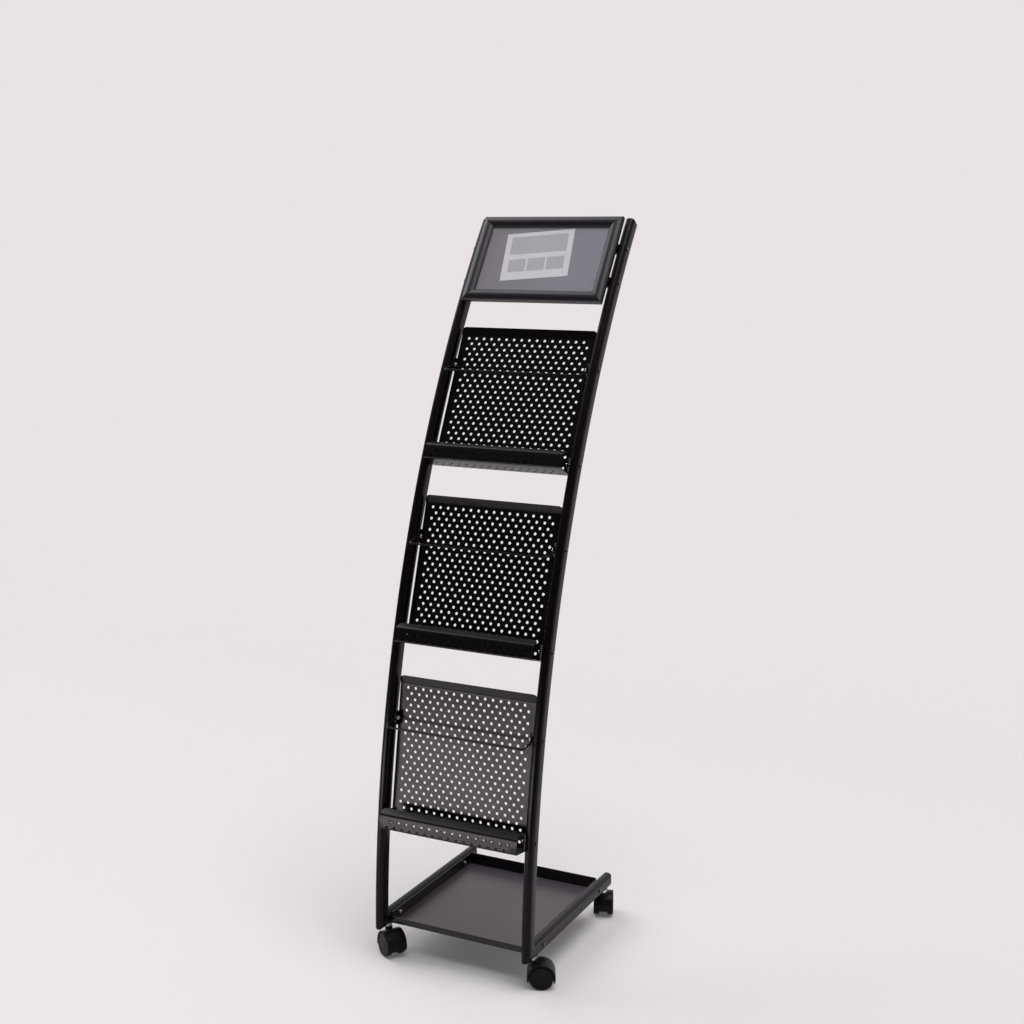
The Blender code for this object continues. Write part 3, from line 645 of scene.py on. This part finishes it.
combined(lip, lip_field, "DIFFERENCE")
floor_field = hole_field(FLOOR_ROWS, floor_start, Vector((0, -ROW_PITCH, 0)), UNTURNED, stagger=-1)
combined(lip, floor_field, "DIFFERENCE")
for tray in TRAYS:
    made = copied(lip, f"tray_lip_{tray}", tray_frames[tray])
    dress(made, "frame", powder, "black_powder_coat", f"tray_{tray}")
dropped(lip)

# %% [markdown]
# ## Guard wires
# A round steel wire runs across each tray, from one bolt to the other, with a loop at each end. A plane
# that loses one of its four edges gives the line; beveling two vertices rounds its corners; turning it into
# a curve with a round bevel gives the wire its body. A torus at each end is the loop.

# %% Wire
WIRE_RADIUS = 2 * MM
WIRE_ARM = 42 * MM
WIRE_BEND = 10 * MM
WIRE_DROOP = math.radians(10.5)
EYE_X = 149.7 * MM
EYE_RADIUS = 4.5 * MM

line_middle = (0, -(WIRE_ARM + EYE_RADIUS) / 2, 0)
wire = plane("wire", 2 * EYE_X, WIRE_ARM - EYE_RADIUS, line_middle)
with editing(wire):
    pick(wire, "EDGE", lambda middle, way: middle.y > -EYE_RADIUS - HAIR)
    bpy.ops.mesh.delete(type="EDGE")
    pick(wire, "VERT", lambda place, normal: place.y < -WIRE_ARM + HAIR)
    round_edges(WIRE_BEND, segments=8, affect="VERTICES")
choose(wire)
bpy.ops.object.convert(target="CURVE")
wire.data.bevel_depth = WIRE_RADIUS
wire.data.bevel_resolution = 3
wire.data.use_fill_caps = True
bpy.ops.object.convert(target="MESH")
wire = bpy.context.active_object
for side in (-1, 1):
    deselect()
    bpy.ops.mesh.primitive_torus_add(major_radius=EYE_RADIUS, minor_radius=WIRE_RADIUS, major_segments=28,
                                     minor_segments=12, location=(side * EYE_X, 0, 0), rotation=TO_SIDE)
    combined(wire, added("eye"), "UNION")
outward(wire)
for tray in TRAYS:
    hang = Matrix.Translation(joints[f"swing_{tray}"]["pos_m"]) @ Matrix.Rotation(WIRE_DROOP, 4, "X")
    made = copied(wire, f"round_wire_{tray}", hang)
    dress(made, f"guard_wire_{tray}", wire_coat, "black_powder_coat", f"guard_wire_{tray}")
dropped(wire)

# %% [markdown]
# ## Side frames
# Each side is a flat-oval tube: a bowed upright, mitred and welded to a straight rail. The section is a
# circle whose halves are moved apart. Spin carries it round the bow's centre, which is far behind the rack,
# an extrusion makes the rail, and a cut at 45 degrees through both lets them meet in a mitre. The caps are
# copies of the tubes' end faces.

# %% Tube section
BOW_RADIUS = 2.4
CAP_THICK = 3 * MM
CAP_ROUND = 1.6 * MM
CAP_GAP = 0.3 * MM
SECTION_SIDES = 40
TUBE_FLAT = 1 * MM
cap_low, cap_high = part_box("rail_cap_right")
tube_width = cap_high.x - cap_low.x
tube_depth = cap_high.z - cap_low.z
tube_x = (cap_low.x + cap_high.x) / 2
inner_x, outer_x = cap_low.x, cap_high.x
rail_bottom = cap_low.z
rail_back = cap_high.y - CAP_THICK - CAP_GAP
upright_low, upright_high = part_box("side_frame_right")
upright_front = upright_low.y
bow_turn = math.asin((upright_high.z - rail_bottom) / BOW_RADIUS)
corner = Vector((tube_x, upright_front, rail_bottom))


def section(name):
    """The tube's outline in X and Y, with its front edge at Y = 0."""
    radius = tube_width / 2 - TUBE_FLAT
    deselect()
    bpy.ops.mesh.primitive_circle_add(vertices=SECTION_SIDES, radius=radius,
                                      rotation=(0, 0, math.pi / SECTION_SIDES))
    made = added(name)
    with editing(made):
        for axis, reach in ((0, tube_width / 2 - radius), (1, tube_depth / 2 - radius)):
            for way in (-1, 1):
                offset = [0, 0, 0]
                offset[axis] = way * reach
                pick(made, "VERT", lambda place, normal: place[axis] * way > 0)
                bpy.ops.transform.translate(value=offset)
        pick_all()
        bpy.ops.transform.translate(value=(0, tube_depth / 2, 0))
    return made


print("tube", round(tube_width / MM, 1), "by", round(tube_depth / MM, 1), "mm")

# %% Upright and rail
SPIN_STEPS = 60
WELD = 0.5 * MM
bow_centre = corner + Vector((0, BOW_RADIUS, 0))


def mitred(piece, keep_up):
    with editing(piece):
        pick_all()
        bpy.ops.mesh.bisect(plane_co=corner, plane_no=(0, -1, 1), clear_inner=keep_up,
                            clear_outer=not keep_up)


upright = section("upright")
upright.location = corner
settle(upright)
with editing(upright):
    pick_all()
    bpy.ops.mesh.spin(steps=SPIN_STEPS, angle=bow_turn, center=bow_centre, axis=(1, 0, 0))
mitred(upright, True)
rail = section("rail")
rail.rotation_euler = TO_FRONT
rail.location = (tube_x, rail_back, rail_bottom)
settle(rail)
with editing(rail):
    pick_all()
    pull((0, upright_front - rail_back, 0))
mitred(rail, False)
side_tube = joined("side_tube", [upright, rail])
with editing(side_tube):
    pick_all()
    bpy.ops.mesh.remove_doubles(threshold=WELD)
    fill_ends()
outward(side_tube)
print("side tube", side_tube.dimensions)


# %% End caps
def end_cap(name, end, out):
    """A copy of the tube's face at one end, pulled out and rounded."""
    cap = copied(side_tube, name)
    with editing(cap):
        pick(cap, "FACE", lambda middle, normal: normal.dot(out) < FACING or (middle - end).dot(out) < -HAIR)
        bpy.ops.mesh.delete(type="FACE")
        pick_all()
        bpy.ops.transform.translate(value=out * CAP_GAP)
        pull(out * CAP_THICK)
        pick(cap, "EDGE", lambda middle, way: (middle - end).dot(out) > CAP_GAP + CAP_THICK - HAIR)
        round_edges(CAP_ROUND, segments=3)
        fill_ends()
    outward(cap)
    return cap


top_end = bow_centre + Vector((0, -math.cos(bow_turn), math.sin(bow_turn))) * BOW_RADIUS
top_cap = end_cap("top_cap", top_end, Vector((0, math.sin(bow_turn), math.cos(bow_turn))))
rail_end = Vector((tube_x, rail_back, rail_bottom))
rail_cap = end_cap("rail_cap", rail_end, Vector((0, 1, 0)))
for word, side in SIDES:
    shift = Matrix.Translation(((side - 1) * tube_x, 0, 0))
    made = copied(side_tube, f"side_tube_{word}", shift)
    dress(made, "frame", tube_coat, "black_powder_coat", f"side_frame_{word}")
    for end, cap in (("top", top_cap), ("rail", rail_cap)):
        made = copied(cap, f"tube_cap_{end}_{word}", shift)
        dress(made, "frame", plastic, "black_plastic", f"{end}_cap_{word}")
dropped(side_tube, top_cap, rail_cap)

# %% [markdown]
# ## Base tray
# A shallow tray of folded sheet hangs between the rails: a floor, a low lip in front, flanges at the sides
# and a wall at the back. The floor is a plane with its corners nicked off, as the real blank is, and each
# long edge is pulled up by itself. The folds are beveled, and Solidify thickens the sheet to the inside.

# %% Folded base tray
BASE_LIP = 13 * MM
BASE_SIDE = 23 * MM
BASE_BACK = 26 * MM
CORNER_NICK = 1.6 * MM
LONG_EDGE = 20 * CORNER_NICK
BASE_BEND = 0.6 * MM
base_low, base_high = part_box("base_tray")
base_middle = (base_low + base_high) / 2
base_size = base_high - base_low
floor_middle = (base_middle.x, base_middle.y, base_low.z)
base = plane("folded_base_tray", base_size.x, base_size.y, floor_middle)
walls = ((lambda middle: middle.y < base_low.y + HAIR, BASE_LIP),
         (lambda middle: middle.y > base_high.y - HAIR, BASE_BACK),
         (lambda middle: abs(middle.x) > base_high.x - HAIR, BASE_SIDE))
with editing(base):
    bpy.ops.mesh.flip_normals()
    pick(base, "VERT", lambda place, normal: True)
    round_edges(CORNER_NICK, segments=1, affect="VERTICES")
    for is_wall, height in walls:
        pick(base, "EDGE", lambda middle, way: middle.z < base_low.z + HAIR and is_wall(middle))
        pull((0, 0, height))
    pick(base, "EDGE", lambda middle, way: middle.z < base_low.z + HAIR and way.length > LONG_EDGE)
    round_edges(BASE_BEND, segments=3)
modified(base, "SOLIDIFY", thickness=SHEET, offset=-1)
dress(base, "frame", base_coat, "black_powder_coat", "base_tray")

# %% [markdown]
# ## Sign rails
# The sign is a snap frame: four rounded rails that flip open about their outer edges. A rail is an edge as
# long as the side, spun through a part of a circle to make a crowned strip, with a short lip pulled down
# from its inner edge. Both ends are cut at 45 degrees, so that the four meet in mitres.

# %% Sign frame
SNAP_WIDTH = 24.5 * MM
SNAP_CROWN = 4.8 * MM
SNAP_EDGE = 1.5 * MM
SNAP_LIP = 2.2 * MM
SNAP_SKIN = 1.4 * MM
MITRE_GAP = 0.5 * MM
SNAP_STEPS = 16
SIGN_EDGES = (("top", 0), ("right", 90), ("bottom", 180), ("left", 270))
sign_frame = leaning("sign_back_plate", Vector())
sign_low, sign_high = local_box("sign_base", sign_frame)
sign_middle = (sign_low + sign_high) / 2
sign_frame = sign_frame @ Matrix.Translation((0, sign_high.y, sign_middle.z))
sign_half = (sign_high - sign_low) / 2
hinge_depth = local_box("snap_rail_top", sign_frame)[1].y


def snap_rail(name, length):
    """A crowned strip about its hinge line: the sign's middle lies along -Z, the front along -Y."""
    arc = (SNAP_WIDTH ** 2 / 4 + SNAP_CROWN ** 2) / (2 * SNAP_CROWN)
    sweep = 2 * math.asin(SNAP_WIDTH / 2 / arc)
    # Of this plane only the front edge stays, as long as the rail.
    made = plane(name, length, 1, (0, 0.5 - SNAP_EDGE, 0))
    with editing(made):
        pick(made, "VERT", lambda place, normal: place.y > 0)
        bpy.ops.mesh.delete(type="VERT")
        pick_all()
        spin_centre = (0, -SNAP_EDGE + arc - SNAP_CROWN, -SNAP_WIDTH / 2)
        bpy.ops.mesh.spin(steps=SNAP_STEPS, angle=-sweep, center=spin_centre, axis=(1, 0, 0))
        pick(made, "EDGE", lambda middle, way: abs(way.x) > HAIR and middle.z < -SNAP_WIDTH + HAIR)
        pull((0, SNAP_LIP + SNAP_EDGE, 0))
        pick(made, "EDGE", lambda middle, way: abs(way.x) > HAIR and middle.z > -HAIR)
        pull((0, SNAP_EDGE, 0))
    outward(made)
    modified(made, "SOLIDIFY", thickness=SNAP_SKIN, offset=-1)
    for side in (-1, 1):
        with editing(made):
            pick_all()
            bpy.ops.mesh.bisect(plane_co=(side * (length / 2 - MITRE_GAP), 0, 0), plane_no=(side, 0, -1),
                                use_fill=True, clear_outer=True)
    return made


long_rail = snap_rail("long_rail", 2 * sign_half.x)
short_rail = snap_rail("short_rail", 2 * sign_half.z)
for word, turn in SIGN_EDGES:
    upright_edge = word in ("left", "right")
    rail, look = (short_rail, anodised_up) if upright_edge else (long_rail, anodised_across)
    swing = Matrix.Rotation(math.radians(turn), 4, "Y")
    reach = sign_half.x if upright_edge else sign_half.z
    spot = Matrix.Translation((0, hinge_depth, 0)) @ swing @ Matrix.Translation((0, 0, reach))
    made = copied(rail, f"crowned_rail_{word}", sign_frame @ spot)
    dress(made, f"snap_rail_{word}", look, "sign_black", f"snap_rail_{word}")
dropped(long_rail, short_rail)

# %% [markdown]
# ## The sheet in the sign
# Behind the clear cover a small white leaflet lies on the grey board, a little askew. It is a thin slab
# with a plain tinted band and three tinted blocks on it, so that it reads as printed paper.

# %% Leaflet
LEAFLET = Vector((148, 0, 112)) * MM
LEAFLET_PLACE = Vector((-13, 0, 10)) * MM
LEAFLET_TURN = math.radians(-5.5)
LEAFLET_THICK = 0.1 * MM
PAPER_RIM = 1 * MM
# Middle, width and height of each block, in millimetres.
BLOCKS = ((0, 26, 124, 42), (-42, -22, 38, 30), (0, -22, 38, 30), (42, -22, 38, 30))
insert_front = local_box("sign_insert", sign_frame)[0].y


def slab(name, place, width, height):
    made = block(name, place, (width, LEAFLET_THICK, height))
    with editing(made):
        pick(made, "FACE", lambda middle, normal: normal.y < -FACING)
        bpy.ops.mesh.inset(thickness=PAPER_RIM, depth=0)
    return made


leaflet_y = insert_front - LEAFLET_THICK
tile_y = leaflet_y - LEAFLET_THICK
lay = sign_frame @ Matrix.Translation(LEAFLET_PLACE) @ Matrix.Rotation(LEAFLET_TURN, 4, "Y")
sheet = slab("sheet", (0, leaflet_y, 0), LEAFLET.x, LEAFLET.z)
dress(copied(sheet, "sign_leaflet", lay), "frame", paper, "insert_grey")
tiles = [slab("tile", (x * MM, tile_y, z * MM), width * MM, height * MM) for x, z, width, height in BLOCKS]
tile_sheet = joined("tile_sheet", tiles)
dress(copied(tile_sheet, "leaflet_tiles", lay), "frame", tint, "insert_grey")
dropped(sheet, tile_sheet)

# %% [markdown]
# ## Screws and nuts
# Blackened button-head screws sit on the outside of the tubes, with zinc lock nuts inside. One of each is
# modelled at the origin, along X, and copied to every bolt: the wires' pivots, the lower ears, the base
# tray and the sign. The shank between head and nut is as long as what it clamps, so it is made for each
# bolt.

# %% One screw and one nut
HEAD_RADIUS = 4.5 * MM
HEAD_THICK = 2.4 * MM
HEAD_DOME = 1.6 * MM
HEAD_SIDES = 24
SOCKET_RADIUS = 1.7 * MM
SOCKET_DEPTH = 1.3 * MM
SHANK_RADIUS = 2.5 * MM
SHANK_SIDES = 16
NUT_RADIUS = 4.0 * MM
NUT_THICK = 2.8 * MM
NUT_BEVEL = 0.7 * MM
RING_RADIUS = SHANK_RADIUS * 1.45
RING_RISE = 1.2 * MM
RING_ROUND = 0.6 * MM
RING_SIDES = 20
HEXAGON = 6
ring_end = -NUT_THICK - RING_RISE


def rod(name, radius, low, high, sides):
    return cylinder(name, radius, high - low, ((low + high) / 2, 0, 0), TO_SIDE, sides)


head = rod("head", HEAD_RADIUS, 0, HEAD_THICK, HEAD_SIDES)
with editing(head):
    pick(head, "EDGE", lambda middle, way: middle.x > HEAD_THICK - HAIR)
    round_edges(HEAD_DOME, segments=4)
socket = rod("socket", SOCKET_RADIUS, HEAD_THICK - SOCKET_DEPTH, 2 * HEAD_THICK, HEXAGON)
combined(head, socket, "DIFFERENCE")
nut = rod("nut", NUT_RADIUS, -NUT_THICK, 0, HEXAGON)
with editing(nut):
    pick(nut, "EDGE", lambda middle, way: middle.x < -NUT_THICK + HAIR)
    round_edges(NUT_BEVEL, segments=2)
ring = rod("ring", RING_RADIUS, ring_end, -NUT_THICK / 2, RING_SIDES)
with editing(ring):
    pick(ring, "EDGE", lambda middle, way: middle.x < ring_end + HAIR)
    round_edges(RING_ROUND, segments=2)
combined(nut, ring, "UNION")
print("screw head", len(head.data.polygons), "faces, nut", len(nut.data.polygons))

# %% Every bolt's place
BASE_BOLT = 29 * MM
SIGN_BOLT = 39 * MM
SIGN_BOLT_DROP = 3.5 * MM
SIGN_BOLT_BACK = 15 * MM
BRACKET = 3 * MM
ear_inside = EAR_X - SHEET
bolts = []
for tray in TRAYS:
    bolts.append((f"pivot_{tray}", tray_frames[tray].translation, ear_inside))
    bolts.append((f"ear_{tray}", tray_frames[tray] @ Vector((0, 0, -bolt_spacing)), ear_inside))
for word, depth in (("front", base_low.y + BASE_BOLT), ("rear", base_high.y - BASE_BOLT)):
    bolts.append((f"base_{word}", Vector((0, depth, rail_bottom + tube_depth / 2)), base_high.x - SHEET))
for word, height in (("lower", -SIGN_BOLT), ("upper", SIGN_BOLT)):
    spot = sign_frame @ Vector((0, SIGN_BOLT_BACK, height - SIGN_BOLT_DROP))
    bolts.append((f"sign_{word}", spot, inner_x - BRACKET))

for bolt, spot, stack in bolts:
    for word, side in SIDES:
        turn = Matrix.Rotation(0 if side > 0 else math.pi, 4, "Z")
        level = Matrix.Translation((0, spot.y, spot.z)) @ turn
        screw = copied(head, f"screw_{bolt}_{word}", level @ Matrix.Translation((outer_x, 0, 0)))
        stands_for = [bolt.replace("pivot", "pivot_bolt") + f"_{word}"] if bolt.startswith("pivot") else []
        dress(screw, "frame", blackened, "black_powder_coat", *stands_for)
        lock_nut = copied(nut, f"nut_{bolt}_{word}", level @ Matrix.Translation((stack, 0, 0)))
        shank = rod("shank", SHANK_RADIUS, stack - HAIR, outer_x, SHANK_SIDES)
        shank.matrix_world = level
        made = joined(f"nut_{bolt}_{word}", [lock_nut, settle(shank)])
        dress(made, "frame", zinc, "zinc_plate")
dropped(head, nut)

# %% [markdown]
# ## Casters
# A caster is a zinc stem, a hood with a fender over each of two wheels, and the wheels. The wheel is a
# cylinder with rounded shoulders and a face that is inset and sunk. The hood is a barrel cut off below the
# axle, hollowed by two cylinders, with a boss for the stem. All are modelled once, with the stem along Z
# and the trail along X.

# %% Wheel
WHEEL_THICK = 12 * MM
WHEEL_NEAR = 8.8 * MM
WHEEL_SHOULDER = 2 * MM
WHEEL_RIM = 3.2 * MM
RIM_STEP = 0.6 * MM
WHEEL_SINK = 0.7 * MM
HUB_RING = 9 * MM
HUB_STEP = 0.5 * MM
HUB_RISE = 0.8 * WHEEL_SINK
TREAD = 0.99
WHEEL_SIDES = 56
axle_place = Vector(joints["spin_front_right_a"]["pos_m"])
stem_place = Vector(joints["swivel_front_right"]["pos_m"])
wheel_radius = axle_place.z
trail = (axle_place - stem_place).xy.length
hub = Vector((trail, wheel_radius))
wheel_far = WHEEL_NEAR + WHEEL_THICK
wheel_middle = (trail, WHEEL_NEAR + WHEEL_THICK / 2, wheel_radius)

wheel = cylinder("wheel", wheel_radius, WHEEL_THICK, wheel_middle, TO_FRONT, WHEEL_SIDES)
with editing(wheel):
    pick(wheel, "FACE", lambda middle, normal: normal.y > FACING)
    bpy.ops.mesh.inset(thickness=WHEEL_RIM)
    bpy.ops.mesh.inset(thickness=RIM_STEP, depth=-WHEEL_SINK)
    bpy.ops.mesh.inset(thickness=HUB_RING)
    bpy.ops.mesh.inset(thickness=HUB_STEP, depth=HUB_RISE)
    pick(wheel, "EDGE", lambda middle, way: (middle.xz - hub).length > wheel_radius * TREAD
         and abs(way.y) < HAIR)
    round_edges(WHEEL_SHOULDER, segments=4)
print("wheel", wheel.dimensions, len(wheel.data.polygons), "faces")

# %% Hood
FENDER = 27.8 * MM
FENDER_SIDES = 72
CAVITY = 25.1 * MM
CAVITY_SIDES = 64
FENDER_CUT = 8.4 * MM
WEB_HALF = 8 * MM
HOOD_ROUND = 2 * MM
BOSS_RADIUS = 7.5 * MM
BOSS_TOP = 54.2 * MM
BOSS_ROUND = 1.2 * MM
hood = cylinder("hood", FENDER, 2 * wheel_far, (trail, 0, wheel_radius), TO_FRONT, FENDER_SIDES)
with editing(hood):
    pick_all()
    bpy.ops.mesh.bisect(plane_co=(0, 0, wheel_radius - FENDER_CUT), plane_no=(0, 0, 1), use_fill=True,
                        clear_inner=True)
    pick(hood, "EDGE", lambda middle, way: abs(middle.y) > wheel_far - HAIR)
    round_edges(HOOD_ROUND, segments=4)
for side in (-1, 1):
    cavity_middle = (trail, side * (WEB_HALF + wheel_far / 2), wheel_radius)
    cavity = cylinder("cavity", CAVITY, wheel_far, cavity_middle, TO_FRONT, CAVITY_SIDES)
    combined(hood, cavity, "DIFFERENCE")
boss = cylinder("boss", BOSS_RADIUS, BOSS_TOP - wheel_radius, (0, 0, (BOSS_TOP + wheel_radius) / 2))
with editing(boss):
    pick(boss, "EDGE", lambda middle, way: middle.z > BOSS_TOP - HAIR)
    round_edges(BOSS_ROUND, segments=3)
combined(hood, boss, "UNION")
print("hood", hood.dimensions, len(hood.data.polygons), "faces")

# %% Stem
STEM_RADIUS = 5 * MM
STEM_SEAT = 3 * MM
STEM_SIDES = 28
COLLAR_RADIUS = 8 * MM
COLLAR_THICK = 2.5 * MM
COLLAR_ROUND = 0.8 * MM
COLLAR_GAP = 0.3 * MM
collar_top = rail_bottom - COLLAR_GAP
stem_length = collar_top - BOSS_TOP + 2 * STEM_SEAT
stem = cylinder("stem", STEM_RADIUS, stem_length, (0, 0, (collar_top + BOSS_TOP) / 2), sides=STEM_SIDES)
collar = cylinder("collar", COLLAR_RADIUS, COLLAR_THICK, (0, 0, collar_top - COLLAR_THICK / 2))
with editing(collar):
    pick(collar, "EDGE", lambda middle, way: middle.z < collar_top - COLLAR_THICK + HAIR)
    round_edges(COLLAR_ROUND, segments=3)
combined(stem, collar, "UNION")
print("stem", stem.dimensions, len(stem.data.polygons), "faces")

# %% Four casters
half_turn = (Matrix.Translation((trail, 0, 0)) @ Matrix.Rotation(math.pi, 4, "Z")
             @ Matrix.Translation((-trail, 0, 0)))
for word in CASTERS:
    stem_place = Vector(joints[f"swivel_{word}"]["pos_m"])
    way = Vector(joints[f"spin_{word}_a"]["pos_m"]) - stem_place
    spot = Matrix.Translation((stem_place.x, stem_place.y, 0))
    facing = spot @ Matrix.Rotation(math.atan2(way.y, way.x), 4, "Z")
    made = copied(hood, f"hood_{word}", facing)
    dress(made, f"caster_{word}", nylon, "caster_nylon", f"caster_hood_{word}")
    made = copied(stem, f"stem_{word}", spot)
    dress(made, "frame", zinc, "zinc_plate", f"caster_stem_{word}")
    for letter, turn in (("a", Matrix()), ("b", half_turn)):
        made = copied(wheel, f"wheel_{word}_{letter}", facing @ turn)
        dress(made, f"wheel_{word}_{letter}", nylon, "caster_nylon", f"caster_wheel_{word}_{letter}")
dropped(hood, wheel, stem)

# %% [markdown]
# ## Solids that stay
# The sign's base, back plate, brackets, springs and the axles are hidden or already right. They keep their
# solids and get a finish, and so do the grey board and the clear cover of the sign.

# %% Finishes for the solids that stay
kept(anodised_across, "sign_base", "sign_back_plate")
kept(powder, *[f"sign_bracket_{level}_{word}" for level in ("lower", "upper") for word, _ in SIDES])
kept(zinc, *[f"snap_spring_{word}" for word, _ in SIGN_EDGES], *[f"caster_axle_{word}" for word in CASTERS])
kept(board, "sign_insert")
kept(film, "sign_cover_sheet")
shown = [name for name, node in nodes.items() if not node.hide_render]
print(len(shown), "solids stay:", ", ".join(sorted(shown)))

# %% [markdown]
# ## Studio
# The rack stands on a pale floor that rises into a pale wall through a wide curve, as a photographer's
# paper sweep does. Two broad suns and a grey sky light it so that a colour shows about as it is written.
# The black steel takes its shape from what it mirrors, so the room in front is dim and a low, broad card
# lamp stands there: the lowest panel mirrors that lamp and looks grey, and the two above it mirror the dim
# room. A second, small card lamp lies on the floor and shines up, for the bent top edge of the lowest
# panel, which mirrors the floor in front.

# %% Floor and wall
SWEEP_FRONT, SWEEP_BACK, SWEEP_WIDE = -1.35, 3.4, 14.0
SWEEP_HEIGHT = 5.0
SWEEP_CURVE = 1.4
RISE_START, RISE_END = 0.5, 2.4
FLOOR_GLOW = 0.1
WALL = (0.815, 0.768, 0.768, 1)


def studio_paper():
    """White paper that takes shadows; where it rises it glows evenly to the eye and in mirrors."""
    near, far = (0.80, 0.775, 0.78), (0.83, 0.79, 0.79)
    finish = Finish("studio_paper", roughness=0.9)
    rise = finish.between(finish.part(finish.place(), "Y"), low=RISE_START, high=RISE_END)
    finish.set("Base Color", finish.mixed(rise, near, far))
    direct, mirrored, through = [finish.node("ShaderNodeLightPath", output=f"Is {kind} Ray")
                                 for kind in ("Camera", "Glossy", "Transmission")]
    share = (FLOOR_GLOW + (1 - FLOOR_GLOW) * rise) * (direct + mirrored + through)
    glow = finish.node("ShaderNodeEmission", {}, {"Color": WALL, "Strength": 1.0})
    plain = Value(finish, finish.shader.outputs[0])
    both = finish.node("ShaderNodeMixShader", {}, {0: share, 1: plain, 2: glow})
    finish.link(finish.tree.nodes["Material Output"].inputs["Surface"], both)
    return finish.material


sweep_middle = (0, (SWEEP_FRONT + SWEEP_BACK) / 2, 0)
sweep = plane("paper_sweep", SWEEP_WIDE, SWEEP_BACK - SWEEP_FRONT, sweep_middle)
with editing(sweep):
    pick(sweep, "EDGE", lambda middle, way: middle.y > SWEEP_BACK - HAIR)
    pull((0, 0, SWEEP_HEIGHT))
    pick(sweep, "EDGE", lambda middle, way: middle.y > SWEEP_BACK - HAIR and middle.z < HAIR)
    round_edges(SWEEP_CURVE, segments=16)
choose(sweep)
bpy.ops.object.shade_smooth()
sweep.data.materials.append(studio_paper())
print("paper sweep", sweep.dimensions)

# %% Lamps
# Name, strength, tilt, heading and width of each sun, the last three in degrees.
SUNS = (("key", 1.5, 14, 60, 40), ("fill", 1.0, 45, -100, 45))
# Name, power, tilt, heading, place and size of each card lamp.
CARDS = (("low", 22.9, 90, -27, (-1.45, -2.9, 0.085), (1.7, 0.55)),
         ("floor", 1.4, 180, -27, (-0.55, -1.07, 0.01), (0.7, 0.3)))
CARD_COLOR = (1.0, 0.90, 0.89)


def lamp(kind, name, energy, tilt, heading, place=(0, 0, 0)):
    deselect()
    turn = (math.radians(tilt), 0, math.radians(heading))
    bpy.ops.object.light_add(type=kind, location=place, rotation=turn)
    made = bpy.context.active_object
    made.name = name
    made.data.energy = energy
    print(name, energy)
    return made.data


for word, strength, tilt, heading, spread in SUNS:
    sun = lamp("SUN", f"{word}_lamp", strength, tilt, heading)
    sun.angle = math.radians(spread)
for word, power, tilt, heading, place, size in CARDS:
    card = lamp("AREA", f"{word}_card", power, tilt, heading, place)
    card.shape = "RECTANGLE"
    card.size, card.size_y = size
    card.color = CARD_COLOR

# %% Room
SKY, ROOM = (0.52, 0.51, 0.52), (0.075, 0.07, 0.08)
world = bpy.data.worlds.new("studio")
bpy.context.scene.world = world
sky = Network(world)
way = sky.node("ShaderNodeTexCoord", output="Generated")
front = sky.between(0 - sky.part(way, "Y"), low=0.05, high=0.5)
below_top = 1 - sky.between(sky.part(way, "Z"), low=0.80, high=0.95)
dome = sky.mixed(front * below_top, SKY, ROOM)
sky.link(sky.tree.nodes["Background"].inputs["Color"], dome)
print("sky", SKY, "and dim room", ROOM)

# %% [markdown]
# ## Camera
# The camera stands to the right, nearly as high as the rack, and looks down by about ten degrees. Its lens
# and place were worked out from the rows of holes, which are an even grid on a flat sheet.

# %% Camera
CAMERA_PLACE = (1.299, -2.618, 1.383)
CAMERA_LENS = 52.48
CAMERA_HEADING, CAMERA_DROP, CAMERA_ROLL = math.radians(26.15), math.radians(9.68), math.radians(0.53)
deselect()
bpy.ops.object.camera_add(location=CAMERA_PLACE)
camera = bpy.context.active_object
camera.data.lens = CAMERA_LENS
look = Matrix.Rotation(CAMERA_HEADING, 3, "Z") @ Matrix.Rotation(math.pi / 2 - CAMERA_DROP, 3, "X")
camera.rotation_euler = (look @ Matrix.Rotation(CAMERA_ROLL, 3, "Z")).to_euler()
bpy.context.scene.camera = camera
bpy.context.scene.view_settings.view_transform = "Standard"
print("camera at", camera.location, "with a lens of", CAMERA_LENS, "mm")
